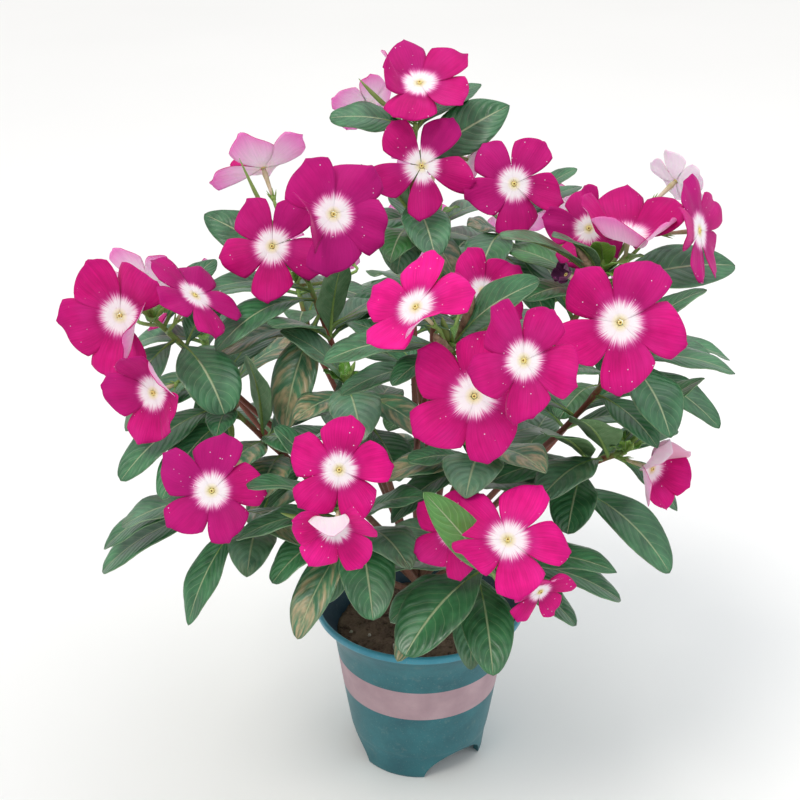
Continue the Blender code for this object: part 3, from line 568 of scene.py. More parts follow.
def paired_leaves(path, count, lowest, rng):
    """Opposite pairs from the lowest place up a shoot, each a quarter turn on from the last."""
    leaves = []
    for i in range(count):
        s = lowest + (0.98 - lowest) * (i + 0.5) / count
        base = curve_through(path, s)
        along = curve_through(path, s + 0.02) - curve_through(path, s - 0.02)
        lean = math.degrees(math.atan2(along.x, -along.y))
        for half in (0, 1):
            heading = lean + 45.0 + 90.0 * i + 180.0 * half + rng.uniform(-12.0, 12.0)
            pitch = rng.uniform(-6.0, 24.0)
            length = rng.uniform(50.0, 62.0)
            tip = base + direction(heading, pitch) * length
            leaves.append(Leaf(base, tip, rng.uniform(22.0, 27.0), rng.uniform(0.08, 0.15)))
    return leaves


def pedicel_points(path, flower):
    """From the shoot's upper part to just behind the flower's tube."""
    foot = flower.tube_foot() - flower.face * GAP
    nearest = min((0.5 + 0.02 * k for k in range(26)),
                  key=lambda s: (curve_through(path, s) - foot).length)
    start = curve_through(path, nearest - 0.04 if nearest > 0.6 else nearest)
    bend = foot - flower.face * min(6.0, 0.4 * (foot - start).length)
    middle = 0.5 * (start + bend) - Vector((0.0, 0.0, 0.06 * (bend - start).length))
    return [start, middle, bend, foot]


# ---------------------------------------------------------------- materials

def linear(hex_colour):
    """An sRGB hex value as linear red, green, blue and alpha."""
    shares = [int(hex_colour[i:i + 2], 16) / 255.0 for i in (0, 2, 4)]
    return (*[c / 12.92 if c <= 0.04045 else ((c + 0.055) / 1.055) ** 2.4 for c in shares], 1.0)


def new_material(name, roughness, specular=0.5, **shader_settings):
    """A Principled material; the settings are the same all over the surface."""
    material = bpy.data.materials.new(name)
    material.use_nodes = True
    shader = material.node_tree.nodes["Principled BSDF"].inputs
    shader["Roughness"].default_value = roughness
    shader["Specular IOR Level"].default_value = specular
    for socket, value in shader_settings.items():
        shader[socket.replace("_", " ")].default_value = value
    return material


def add_node(material, kind, feeds=(), stops=(), **settings):
    """Adds a node and returns its outputs. A feed is a value, a hex colour or another output."""
    node = material.node_tree.nodes.new("ShaderNode" + kind)
    for name, value in settings.items():
        setattr(node, name, value)
    for k, (place, colour) in enumerate(stops):
        points = node.color_ramp.elements
        point = points[k] if k < 2 else points.new(place)
        point.position = place
        point.color = linear(colour)
    for socket, value in (feeds.items() if isinstance(feeds, dict) else enumerate(feeds)):
        if isinstance(value, bpy.types.NodeSocket):
            material.node_tree.links.new(value, node.inputs[socket])
        else:
            node.inputs[socket].default_value = linear(value) if isinstance(value, str) else value
    return node.outputs


def feed_shader(material, **feeds):
    shader = material.node_tree.nodes["Principled BSDF"]
    for socket, value in feeds.items():
        material.node_tree.links.new(value, shader.inputs[socket.replace("_", " ")])


def mottle(material, spacing, detail=3.0, roughness=0.55):
    """A cloudy pattern fixed to the object, its lumps about the spacing across in millimetres."""
    place = add_node(material, "TexCoord")["Object"]
    return add_node(material, "TexNoise", {"Vector": place, "Scale": 1.0 / (spacing * MM),
                                           "Detail": detail, "Roughness": roughness})[0]


def vein_pattern(m):
    """Places on a blade and its veins: eleven laterals a side, about 5 mm apart, and a midrib."""
    uv = add_node(m, "UVMap", uv_map="blade")[0]
    across, along, _ = add_node(m, "SeparateXYZ", [uv])
    centred = add_node(m, "Math", [across, 2.0, -1.0], operation="MULTIPLY_ADD")[0]
    outward = add_node(m, "Math", [centred], operation="ABSOLUTE")[0]
    # A lateral leaves the midrib at 45 degrees and turns forward near the margin.
    slant = add_node(m, "Math", [outward, -LATERAL_SLANT], operation="MULTIPLY")[0]
    cube = add_node(m, "Math", [outward, 3.0], operation="POWER")[0]
    bent = add_node(m, "Math", [cube, -LATERAL_BEND, slant], operation="MULTIPLY_ADD")[0]
    right = add_node(m, "Math", [across, 0.5], operation="GREATER_THAN")[0]
    staggered = add_node(m, "Math", [right, LATERAL_STAGGER, bent], operation="MULTIPLY_ADD")[0]
    wander = add_node(m, "Math", [mottle(m, 9.0, 1.0), 0.5, staggered], operation="MULTIPLY_ADD")[0]
    phase = add_node(m, "Math", [along, LATERALS, wander], operation="MULTIPLY_ADD")[0]
    part = add_node(m, "Math", [phase], operation="FRACT")[0]
    shifted = add_node(m, "Math", [part, 0.5], operation="SUBTRACT")[0]
    gap = add_node(m, "Math", [shifted], operation="ABSOLUTE")[0]
    line = add_node(m, "MapRange", [gap, 0.006, 0.04, 1.0, 0.0], interpolation_type="SMOOTHSTEP")[0]
    inner = add_node(m, "MapRange", [outward, 0.65, 0.98, 1.0, 0.0])[0]
    lateral = add_node(m, "Math", [line, inner], operation="MULTIPLY")[0]
    midrib = add_node(m, "MapRange", [outward, 0.02, 0.055, 1.0, 0.0])[0]
    return phase, outward, gap, lateral, midrib


def fresh_leaf():
    """Upper skin of a live leaf: waxy and satin, quilted between sunken cream veins, pale-edged,
    with painted sheen.
    """
    m = new_material("live_leaf_waxy_upper_skin", 0.4, Coat_Weight=0.38, Coat_Roughness=0.3)
    phase, outward, gap, lateral, midrib = vein_pattern(m)
    look = add_node(m, "Attribute", attribute_name="leaf_look")["Vector"]
    young, tan, shade = add_node(m, "SeparateXYZ", [look])
    cloud = mottle(m, 11.0)
    green = add_node(m, "ValToRGB", [cloud], stops=[(0.3, "144E26"), (0.72, "358249")])[0]
    # Painted sheen: a silvery green stands in for the sky's glossy reflection. bloom, set by the
    # look's third number, is its share.
    painted_sheen = add_node(m, "ValToRGB", [cloud], stops=[(0.25, "47775C"), (0.75, "86AD95")])[0]
    bloom = add_node(m, "MapRange", [shade, 0.3, 1.0, 0.0, 0.55])[0]
    pocket = add_node(m, "MapRange", [gap, 0.1, 0.42], interpolation_type="SMOOTHSTEP")[0]
    deep = add_node(m, "Math", [pocket, 0.1], operation="MULTIPLY")[0]
    # Dry patches spread along the laterals, a few veins wide.
    strip = add_node(m, "Math", [phase, 0.42], operation="MULTIPLY")[0]
    seed = add_node(m, "Math", [shade, 19.0, tan], operation="MULTIPLY_ADD")[0]
    patch = add_node(m, "CombineXYZ", [outward, strip, seed])[0]
    blotch = add_node(m, "TexNoise", {"Vector": patch, "Scale": 1.9, "Detail": 4.0})[0]
    spread = add_node(m, "MapRange", [blotch, 0.44, 0.68], interpolation_type="SMOOTHSTEP")[0]
    dry = add_node(m, "Math", [spread, tan], operation="MULTIPLY")[0]
    faint = add_node(m, "Math", [lateral, 0.24], operation="MULTIPLY")[0]
    strong = add_node(m, "Math", [midrib, 0.7], operation="MULTIPLY")[0]
    vein = add_node(m, "Math", [faint, strong], operation="MAXIMUM")[0]
    rim = add_node(m, "MapRange", [outward, 0.95, 0.99, 0.0, 0.28])[0]
    for share, tint in [(bloom, painted_sheen), (young, "74B22E"), (deep, "1A4A2C"), (dry, "C2AA84"),
                        (vein, "BFD0A0"), (rim, "A8BD8C")]:
        green = add_node(m, "Mix", {0: share, 6: green, 7: tint}, data_type="RGBA")[2]
    sunk = add_node(m, "Math", [midrib, 0.8], operation="MULTIPLY")[0]
    quilt = add_node(m, "Math", [pocket, 0.5, sunk], operation="MULTIPLY_ADD")[0]
    grain = add_node(m, "Math", [mottle(m, 0.9, 2.0), 0.14, quilt], operation="MULTIPLY_ADD")[0]
    relief = add_node(m, "Bump", {"Height": grain, "Distance": 0.5 * MM})[0]
    rough = add_node(m, "Math", [cloud, 0.3, 0.2], operation="MULTIPLY_ADD")[0]
    feed_shader(m, Base_Color=green, Roughness=rough, Normal=relief)
    return m


def leaf_underside():
    """Lower skin of a live leaf: matt and paler, with the veins raised."""
    m = new_material("live_leaf_matt_lower_skin", 0.62, 0.3)
    _, _, _, lateral, midrib = vein_pattern(m)
    look = add_node(m, "Attribute", attribute_name="leaf_look")["Vector"]
    young, tan, _ = add_node(m, "SeparateXYZ", [look])
    green = add_node(m, "ValToRGB", [mottle(m, 8.0)], stops=[(0.3, "4F7A50"), (0.75, "7FA079")])[0]
    dry = add_node(m, "Math", [tan, 0.35], operation="MULTIPLY")[0]
    faint = add_node(m, "Math", [lateral, 0.45], operation="MULTIPLY")[0]
    vein = add_node(m, "Math", [faint, midrib], operation="MAXIMUM")[0]
    for share, tint in [(young, "8DB848"), (dry, "B8A985"), (vein, "B9C79A")]:
        green = add_node(m, "Mix", {0: share, 6: green, 7: tint}, data_type="RGBA")[2]
    relief = add_node(m, "Bump", {"Height": vein, "Distance": 0.4 * MM})[0]
    feed_shader(m, Base_Color=green, Normal=relief)
    return m


def petal_pattern(m):
    """Place out from the eye, streaks that fan out along a petal, and the petal's own look."""
    uv = add_node(m, "UVMap", uv_map="blade")[0]
    across, out, _ = add_node(m, "SeparateXYZ", [uv])
    look = add_node(m, "Attribute", attribute_name="petal_look")["Vector"]
    tone, seed, pale = add_node(m, "SeparateXYZ", [look])
    wide = add_node(m, "Math", [across, 24.0], operation="MULTIPLY")[0]
    slow = add_node(m, "Math", [out, 1.4], operation="MULTIPLY")[0]
    apart = add_node(m, "Math", [seed, 30.0], operation="MULTIPLY")[0]
    place = add_node(m, "CombineXYZ", [wide, slow, apart])[0]
    streak = add_node(m, "TexNoise", {"Vector": place, "Scale": 1.6, "Detail": 3.5})[0]
    # The look's third number whitens a petal above 0 and withers it below 0.
    whitened = add_node(m, "Math", [pale, 0.0], operation="MAXIMUM")[0]
    withered = add_node(m, "Math", [pale, -1.0], operation="MULTIPLY", use_clamp=True)[0]
    return out, streak, tone, whitened, withered


def petal_face():
    """Upper side of a fresh petal: velvety magenta round a feathered white eye, with pollen,
    painted light and painted shade.
    """
    m = new_material("fresh_petal_velvet_upper_side", 0.6, 0.15, Sheen_Weight=0.14,
                     Sheen_Roughness=0.35, Sheen_Tint=linear("FF90D0"))
    out, streak, tone, whitened, withered = petal_pattern(m)
    base = add_node(m, "ValToRGB", [out], stops=[
        (0.36, "B00A68"), (0.52, "CA0A74"), (1.0, "CE0A7A"), (0.82, "DA0C7E")])[0]
    # Painted light and shade: paler pink patches stand in for light shining through the petal, and
    # darker patches are painted shade.
    cloud = mottle(m, 17.0, 2.0)
    painted_glow = add_node(m, "MapRange", [cloud, 0.45, 0.75, 0.0, 0.4])[0]
    with_painted_glow = add_node(m, "Mix", {0: painted_glow, 6: base, 7: "E23098"}, data_type="RGBA")[2]
    painted_shade = add_node(m, "MapRange", [cloud, 0.28, 0.5, 0.16, 0.0])[0]
    even = add_node(m, "MapRange", [streak, 0.25, 0.75, 0.76, 1.04])[0]
    soft = add_node(m, "Math", [even, painted_shade], operation="SUBTRACT")[0]
    value = add_node(m, "Math", [soft, tone], operation="MULTIPLY")[0]
    colour = add_node(m, "VectorMath", {0: with_painted_glow, 3: value}, operation="SCALE")[0]
    cool = add_node(m, "MapRange", [tone, 0.75, 1.0, 0.5, 0.0], interpolation_type="SMOOTHSTEP")[0]
    # The feathered edge of the eye follows the streaks.
    ragged = add_node(m, "Math", [out, -0.15], operation="ADD")[0]
    reach = add_node(m, "Math", [streak, 0.3, ragged], operation="MULTIPLY_ADD")[0]
    halo = add_node(m, "MapRange", [reach, 0.31, 0.41, 1.0, 0.0])[0]
    eye = add_node(m, "MapRange", [reach, 0.24, 0.35, 1.0, 0.0])[0]
    centre = add_node(m, "MapRange", [out, 0.05, 0.15, 0.9, 0.0])[0]
    # Pollen and water marks: specks about 0.3 mm across, a few millimetres apart, in patches.
    place = add_node(m, "TexCoord")["Object"]
    grain = add_node(m, "TexVoronoi", {"Vector": place, "Scale": 1.0 / (3.2 * MM)})[0]
    speck = add_node(m, "MapRange", [grain, 0.07, 0.11, 1.0, 0.0])[0]
    few = add_node(m, "MapRange", [mottle(m, 14.0, 1.0), 0.52, 0.6])[0]
    dust = add_node(m, "Math", [speck, few], operation="MULTIPLY")[0]
    for share, tint in [(cool, "B0157C"), (whitened, "F2CCE0"), (halo, "DA5CA6"), (eye, "F6EEF2"),
                        (centre, "F0E3A0"), (withered, "4E2346"), (dust, "F3D9E8")]:
        colour = add_node(m, "Mix", {0: share, 6: colour, 7: tint}, data_type="RGBA")[2]
    height = add_node(m, "Math", [dust, 0.6, streak], operation="MULTIPLY_ADD")[0]
    relief = add_node(m, "Bump", {"Height": height, "Distance": 0.22 * MM})[0]
    feed_shader(m, Base_Color=colour, Normal=relief)
    return m


def petal_back():
    """Lower side of a fresh petal: pale pink, matt and a little see-through."""
    m = new_material("fresh_petal_pale_lower_side", 0.65, 0.25, Sheen_Weight=0.1,
                     Subsurface_Weight=1.0, Subsurface_Scale=3.0 * MM,
                     Subsurface_Radius=(1.0, 0.5, 0.8))
    out, streak, _, whitened, withered = petal_pattern(m)
    base = add_node(m, "ValToRGB", [out], stops=[
        (0.1, "F4E8D4"), (0.3, "FBDCE8"), (1.0, "F27EB0"), (0.7, "F8B2CC")])[0]
    soft = add_node(m, "MapRange", [streak, 0.3, 0.7, 0.86, 1.0])[0]
    colour = add_node(m, "VectorMath", {0: base, 3: soft}, operation="SCALE")[0]
    for share, tint in [(whitened, "F5E6F0"), (withered, "5C3050")]:
        colour = add_node(m, "Mix", {0: share, 6: colour, 7: tint}, data_type="RGBA")[2]
    relief = add_node(m, "Bump", {"Height": streak, "Distance": 0.2 * MM})[0]
    feed_shader(m, Base_Color=colour, Normal=relief)
    return m


def plain_tissue(name, dark, light, roughness, spacing, depth):
    """Plant tissue with a soft mottle and a fine grain."""
    m = new_material(name, roughness, 0.35)
    cloud = mottle(m, spacing)
    colour = add_node(m, "ValToRGB", [cloud], stops=[(0.3, dark), (0.7, light)])[0]
    relief = add_node(m, "Bump", {"Height": cloud, "Distance": depth * MM})[0]
    feed_shader(m, Base_Color=colour, Normal=relief)
    return m


def stem_skin():
    """Stem: smooth green when young, red-brown when older, grey-brown bark when woody."""
    m = new_material("live_stem_skin_and_bark", 0.55, 0.35)
    look = add_node(m, "Attribute", attribute_name="stem_look")["Vector"]
    age, dry, _ = add_node(m, "SeparateXYZ", [look])
    cloud = mottle(m, 2.4)
    shift = add_node(m, "Math", [cloud, 0.3, -0.15], operation="MULTIPLY_ADD")[0]
    place = add_node(m, "Math", [age, shift], operation="ADD")[0]
    colour = add_node(m, "ValToRGB", [place], stops=[
        (0.0, "8FB05A"), (0.2, "7A9A50"), (1.0, "8B7563"), (0.38, "84463A"), (0.72, "6E4638")])[0]
    husk = add_node(m, "ValToRGB", [cloud], stops=[(0.3, "6E5546"), (0.7, "B09878")])[0]
    colour = add_node(m, "Mix", {0: dry, 6: colour, 7: husk}, data_type="RGBA")[2]
    relief = add_node(m, "Bump", {"Height": mottle(m, 0.8), "Distance": 0.3 * MM})[0]
    feed_shader(m, Base_Color=colour, Normal=relief)
    return m


def moulded_plastic(name, dark, light, roughness):
    """Injection-moulded polypropylene: satin, with a faint cloud, dust in patches and scuffs."""
    m = new_material(name, roughness, 0.45)
    colour = add_node(m, "ValToRGB", [mottle(m, 22.0, 4.0, 0.65)],
                      stops=[(0.3, dark), (0.72, light)])[0]
    dust = add_node(m, "MapRange", [mottle(m, 9.0, 6.0, 0.7), 0.56, 0.78, 0.0, 0.4],
                    interpolation_type="SMOOTHSTEP")[0]
    scuff = add_node(m, "MapRange", [mottle(m, 1.1, 2.0), 0.62, 0.72, 0.0, 0.16])[0]
    for share, tint in [(dust, "8C9A92"), (scuff, "A9B4AC")]:
        colour = add_node(m, "Mix", {0: share, 6: colour, 7: tint}, data_type="RGBA")[2]
    rough = add_node(m, "Math", [dust, 0.5, roughness], operation="MULTIPLY_ADD")[0]
    relief = add_node(m, "Bump", {"Height": mottle(m, 0.7, 2.0), "Distance": 0.05 * MM})[0]
    feed_shader(m, Base_Color=colour, Roughness=rough, Normal=relief)
    return m


def printed_ink():
    """Matt mauve ink of the printed band, rubbed thin so that flecks of the plastic show."""
    m = new_material("matt_mauve_printing_ink", 0.6, 0.3)
    colour = add_node(m, "ValToRGB", [mottle(m, 16.0)], stops=[(0.3, "A78B93"), (0.7, "BA9EA5")])[0]
    rubbed = add_node(m, "MapRange", [mottle(m, 1.3, 4.0, 0.7), 0.6, 0.74, 0.0, 0.35])[0]
    colour = add_node(m, "Mix", {0: rubbed, 6: colour, 7: "6E8A8C"}, data_type="RGBA")[2]
    feed_shader(m, Base_Color=colour)
    return m


def damp_soil():
    """Crumbly peat and loam: matt, dark brown, lighter where it has dried."""
    m = new_material("crumbly_potting_soil", 0.95, 0.1)
    fine = mottle(m, 1.6, 5.0, 0.7)
    colour = add_node(m, "ValToRGB", [fine], stops=[(0.28, "463831"), (0.72, "7C695B")])[0]
    dried = add_node(m, "MapRange", [mottle(m, 17.0), 0.4, 0.64, 0.0, 0.5])[0]
    colour = add_node(m, "Mix", {0: dried, 6: colour, 7: "8A7565"}, data_type="RGBA")[2]
    relief = add_node(m, "Bump", {"Height": fine, "Distance": 1.2 * MM})[0]
    feed_shader(m, Base_Color=colour, Normal=relief)
    return m


# ---------------------------------------------------------------- pieces

def add_object(name, data):
    thing = bpy.data.objects.new(name, data)
    bpy.context.scene.collection.objects.link(thing)
    return thing


def add_mesh(name, work, materials=()):
    """An object with the finished mesh and its materials."""
    mesh = bpy.data.meshes.new(name)
    work.to_mesh(mesh)
    work.free()
    for material in materials:
        mesh.materials.append(material)
    return add_object(name, mesh)


def finish_piece(work, name, materials, slot, *nodes):
    """A visible piece on the body root, in place of nodes of the solid model."""
    piece = add_mesh(name, work, materials)
    piece.data.shade_smooth()
    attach(piece, "root")
    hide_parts(*nodes)
    return piece


def stem_look(age, dryness=0.0):
    """What the stem's material reads: 0 green to 1 bark, and 0 fresh to 1 dried."""
    return Vector((age, dryness, 0.0))


def sweep(work, line, radii, sides, material=0, look=None):
    """A closed round body along a line; look is one vector, or one for each point of the line."""
    layer = work.verts.layers.float_vector.get("stem_look")
    last = len(line) - 1
    along = [(line[min(i + 1, last)] - line[max(i - 1, 0)]).normalized() for i in range(last + 1)]
    turn = Vector((0.0, 0.0, 1.0)).rotation_difference(along[0]).to_matrix().to_4x4()
    place = Matrix.Translation(line[0] * MM) @ turn
    ring = bmesh.ops.create_circle(work, cap_ends=True, segments=sides, radius=radii[0] * MM,
                                   matrix=place)["verts"]
    body = set(ring[0].link_faces) & set(ring[1].link_faces)
    for i in range(last + 1):
        if i:
            edges = [e for e in {e for v in ring for e in v.link_edges}
                     if e.verts[0] in ring and e.verts[1] in ring]
            grown = bmesh.ops.extrude_edge_only(work, edges=edges)["geom"]
            ring = [g for g in grown if isinstance(g, bmesh.types.BMVert)]
            body |= {g for g in grown if isinstance(g, bmesh.types.BMFace)}
            swing = along[i - 1].rotation_difference(along[i]).to_matrix().to_4x4()
            growth = Matrix.Scale(radii[i] / radii[i - 1], 4)
            step = (Matrix.Translation(line[i] * MM) @ swing @ growth
                    @ Matrix.Translation(-line[i - 1] * MM))
            bmesh.ops.transform(work, matrix=step, verts=ring)
        if layer:
            for vert in ring:
                vert[layer] = look[i] if isinstance(look, list) else look
    rim = [e for e in {e for v in ring for e in v.link_edges} if len(e.link_faces) == 1]
    body |= set(bmesh.ops.contextual_create(work, geom=rim)["faces"])
    bmesh.ops.recalc_face_normals(work, faces=list(body))
    for face in body:
        face.material_index = material
        face.smooth = True


def sheet(work, columns, rows, spot, thickness, look_name, look):
    """A thin closed blade; spot gives the point and the share along for q, -1 to 1, and t, 0 to 1.

    The upper skin takes the piece's first material and the rest takes its second.
    """
    uv = work.loops.layers.uv["blade"]
    layer = work.verts.layers.float_vector[look_name]
    grid = bmesh.ops.create_grid(work, x_segments=columns, y_segments=rows, size=1.0)["verts"]
    faces = {face for vert in grid for face in vert.link_faces}
    share = {}
    for vert in grid:
        q = vert.co.x
        point, along = spot(q, 0.5 + 0.5 * vert.co.y)
        share[vert] = (0.5 + 0.5 * q, along)
        vert.co = point * MM
        vert[layer] = look
    for face in faces:
        face.normal_update()
        face.material_index = 0
        for loop in face.loops:
            loop[uv].uv = share[loop.vert]
    shell = bmesh.ops.solidify(work, geom=list(faces), thickness=thickness * MM)["geom"]
    for part in shell:
        if isinstance(part, bmesh.types.BMFace):
            part.material_index = 1


def ease(value, start, end):
    """0 below start and 1 above end, with a soft turn between."""
    t = min(max((value - start) / (end - start), 0.0), 1.0)
    return t * t * (3.0 - 2.0 * t)


def grown_width(s, blunt):
    """Share of a blade's full width at s: a slim stalk, an oblong blade and a blunt tip."""
    if s <= PETIOLE_END:
        return 0.10
    u = min((s - PETIOLE_END) / (1.0 - PETIOLE_END), 1.0)
    wide = math.sin(math.pi * u ** 1.12)
    power = 0.95 - (0.95 - blunt) * ease(u, 0.3, 0.8)
    return 0.10 * (1.0 - u) + 0.97 * wide ** power + 0.01


def add_blade(work, leaf, look, rng):
    """One leaf blade with a folded midrib, quilted pockets and a slightly waved margin."""
    wave = rng.uniform(0.0, 6.28)
    ripple = rng.uniform(0.3, 1.0)
    curl = rng.uniform(0.02, 0.14)
    warp = rng.uniform(-0.16, 0.16)
    blunt = rng.uniform(0.42, 0.8)

    def spot(q, t):
        s = 0.4 * t + 0.6 * math.sin(0.5 * math.pi * t)
        _, normal = leaf.surface(s, q)
        middle, _ = leaf.surface(s, 0.0)
        half = 0.5 * leaf.width * grown_width(s, blunt)
        far = abs(q)
        right = float(q > 0)
        fold = 0.20 * far - curl * far ** 3 + warp * q * s
        waved = ease(s, 0.15, 0.4) * (1.0 - 0.6 * ease(s, 0.8, 1.0))
        margin = ripple * math.sin(15.0 * s + wave + 1.4 * right) * far ** 2 * waved
        phase = (LATERALS * s - LATERAL_SLANT * far - LATERAL_BEND * far ** 3
                 + LATERAL_STAGGER * right)
        quilt = 0.07 * math.cos(2.0 * math.pi * phase) * ease(far, 0.05, 0.3) * ease(s, 0.12, 0.2)
        return middle + leaf.side * (q * half) + normal * (fold * half + margin + quilt), s

    sheet(work, 12, 26, spot, LEAF_THICKNESS, "leaf_look", Vector(look))


def add_stalk(work, leaf, age):
    """The leaf's stalk, running on as the keel under its midrib."""
    line = []
    radii = []
    for s in (0.0, 0.05, 0.1, 0.2, 0.35, 0.5, 0.7, 0.9):
        middle, normal = leaf.surface(s, 0.0)
        radius = 1.15 - 0.95 * ease(s, 0.0, 0.9)
        line.append(middle - normal * (0.3 + radius * 0.35 * ease(s, 0.05, 0.3)))
        radii.append(radius)
    sweep(work, line, radii, 6, look=stem_look(age))


def petal_width(share):
    """Half width of a petal at a share of its length, as a share of its greatest half width."""
    if share < 0.78:
        return math.sin(0.5 * math.pi * (share / 0.78) ** 1.05)
    return 1.0 - 0.10 * ((share - 0.78) / 0.22) ** 2


def add_petal(work, flower, k, rng, breadth, tone, pale):
    """One petal: a narrow claw, a broad lopsided blade with a blunt end, and a gentle roll."""
    turn = flower.spin + 72.0 * k
    bend = math.radians(flower.bends[k])
    length = flower.radius * rng.uniform(0.99, 1.07)
    width = length * breadth * rng.uniform(0.92, 1.06)
    lean = rng.uniform(0.02, 0.13)
    corner = rng.uniform(0.15, 0.6)
    droop = rng.uniform(0.05, 0.5) * (1.0 - ease(abs(bend), 0.1, 0.6))
    cup = rng.uniform(-0.46, 0.24)
    crease = rng.uniform(-0.16, 0.18)
    wave = rng.uniform(0.0, 6.28)
    ripple = rng.uniform(0.6, 1.8)
    look = Vector((tone * rng.uniform(0.9, 1.1), rng.random(), pale))
    ray = flower.ray(turn)
    across = flower.ray(turn - 90.0)
    steps = 30
    profile = [(0.0, 0.0, 0.0)]
    for i in range(steps + 4):
        share = (i + 0.5) / steps
        angle = bend * ease(share, 0.1, 0.55) - droop * ease(share, 0.5, 1.1)
        out, lift, _ = profile[-1]
        profile.append((out + math.cos(angle) * length / steps,
                        lift + math.sin(angle) * length / steps, angle))

    def spot(q, t):
        far = abs(q)
        tip = 1.0 - 0.24 * far ** 2.6 + 0.05 * math.exp(-((q - corner) / 0.12) ** 2) * t ** 9
        share = 0.045 + 0.955 * t * (tip + lean * q * t)
        place = min(share * steps, steps + 3.0)
        i = int(place)
        f = place - i
        out, lift, angle = [a + (b - a) * f for a, b in zip(profile[i], profile[i + 1])]
        half = width * petal_width(share)
        normal = flower.face * math.cos(angle) - ray * math.sin(angle)
        rise = (0.8 * q * share + 0.3 * share + cup * half * far ** 2 * share
                + crease * half * math.exp(-(q / 0.3) ** 2) * share
                + ripple * math.sin(2.2 * q + wave) * share ** 2
                + 0.3 * ripple * math.sin(6.5 * q + 2.0 * wave) * share ** 3)
        point = (flower.centre + ray * out + across * (q * half + 0.05 * length * share ** 2)
                 + flower.face * lift + normal * rise)
        return point, math.hypot(share, q * half / length)

    sheet(work, 14, 18, spot, PETAL_THICKNESS, "petal_look", look)


def add_throat(work, flower):
    """The mouth of the tube: a raised ring of yellow hairs round a dark hole."""
    basis = Matrix((flower.right, flower.up, flower.face)).transposed().to_4x4()
    place = Matrix.Translation((flower.centre + flower.face * 0.45) * MM) @ basis
    rim = bmesh.ops.create_circle(work, cap_ends=True, segments=10, radius=1.2 * MM, matrix=place)
    face = next(iter(set(rim["verts"][0].link_faces) & set(rim["verts"][5].link_faces)))
    if face.normal.dot(flower.face) < 0.0:
        bmesh.ops.reverse_faces(work, faces=[face])
    skirt = bmesh.ops.extrude_edge_only(work, edges=list(face.edges))["geom"]
    verts = [g for g in skirt if isinstance(g, bmesh.types.BMVert)]
    bmesh.ops.translate(work, verts=verts, vec=-flower.face * 1.2 * MM)
    hair = bmesh.ops.inset_region(work, faces=[face], thickness=0.7 * MM, depth=0.3 * MM)["faces"]
    hole = bmesh.ops.inset_region(work, faces=[face], thickness=0.1 * MM, depth=-0.6 * MM)["faces"]
    for part in hair + [g for g in skirt if isinstance(g, bmesh.types.BMFace)]:
        part.material_index = 3
    for part in hole + [face]:
        part.material_index = 4


def build_flower(label, flower, rng, materials, breadth, tone, pale):
    """Five petals, the tube behind them and its throat, as one piece."""
    work = bmesh.new()
    work.loops.layers.uv.new("blade")
    work.verts.layers.float_vector.new("petal_look")
    for k in range(5):
        add_petal(work, flower, k, rng, breadth, tone, pale[k])
    foot = flower.tube_foot()
    line = [foot.lerp(flower.centre, f) for f in (0.0, 0.3, 0.6, 0.8, 0.92, 1.0)]
    sweep(work, line, [0.9, 1.0, 1.25, 1.6, 1.2, 1.0], 8, material=2)
    add_throat(work, flower)
    finish_piece(work, "bloom_" + label, materials, "petal_magenta", "flower_" + label)


def add_calyx(work, flower):
    """Five slim sepals round a small cup at the foot of the tube."""
    foot = flower.tube_foot()
    look = stem_look(0.05)
    sweep(work, [foot + flower.face * rise for rise in (-0.8, 1.2, 2.4)], [1.1, 1.7, 1.2], 8,
          look=look)
    for k in range(5):
        ray = flower.ray(72.0 * k + 20.0)
        line = [foot + ray * out + flower.face * rise
                for out, rise in ((1.0, 1.0), (2.1, 3.2), (3.0, 5.6))]
        sweep(work, line, [0.55, 0.4, 0.08], 4, look=look)


def add_bud(work, base, tip, radius, look):
    """A furled bud or pod: a slim stalk, a swelling and a point."""
    chord = tip - base
    sag = Vector((0.0, 0.0, -0.06 * chord.length))
    shape = [(0.0, 0.5), (0.2, 0.5), (0.4, 0.8), (0.6, 1.1), (0.78, 0.95), (0.92, 0.5), (1.0, 0.12)]
    line = [base + chord * f + sag * (4.0 * f * (1.0 - f)) for f, _ in shape]
    sweep(work, line, [radius * r for _, r in shape], 7, look=look)


def add_shoot_stem(work, path, joints, rng):
    """The shoot's stem: redder low down, thinner upwards and swollen at the joints."""
    count = 34
    line = [curve_through(path, k / count) for k in range(count + 1)]
    radii = []
    looks = []
    for k, point in enumerate(line):
        s = k / count
        near = min(((point - joint).length for joint in joints), default=99.0)
        radii.append((2.4 - 1.1 * s) * (1.0 + 0.22 * math.exp(-(near / 2.5) ** 2)))
        age = 0.82 - 0.40 * ease(s, 0.25, 0.8) - 0.32 * ease(s, 0.8, 1.0)
        looks.append(stem_look(age + rng.uniform(-0.04, 0.04)))
    sweep(work, line, radii, 10, look=looks)


def add_flower_stalk(work, points):
    count = 10
    line = [curve_through(points, k / (count - 1)) for k in range(count)]
    sweep(work, line, [1.2 - 0.03 * k for k in range(count)], 7,
          look=[stem_look(0.3 - 0.03 * k) for k in range(count)])


def add_tuft(blades, wood, end, size, rng):
    """The buds and small young leaves at a shoot's end."""
    for k in range(3):
        lean = direction(120.0 * k + rng.uniform(-30.0, 30.0), rng.uniform(35.0, 75.0))
        add_bud(wood, end, end + lean * rng.uniform(9.0, 15.0), rng.uniform(0.9, 1.4),
                stem_look(0.06))
    for k in range(4):
        lean = direction(90.0 * k + rng.uniform(-25.0, 25.0), rng.uniform(15.0, 55.0))
        length = size * rng.uniform(0.8, 1.2)
        small = Leaf(end, end + lean * length, length * rng.uniform(0.42, 0.52), 0.1)
        add_blade(blades, small, (0.75, 0.0, 0.5), rng)


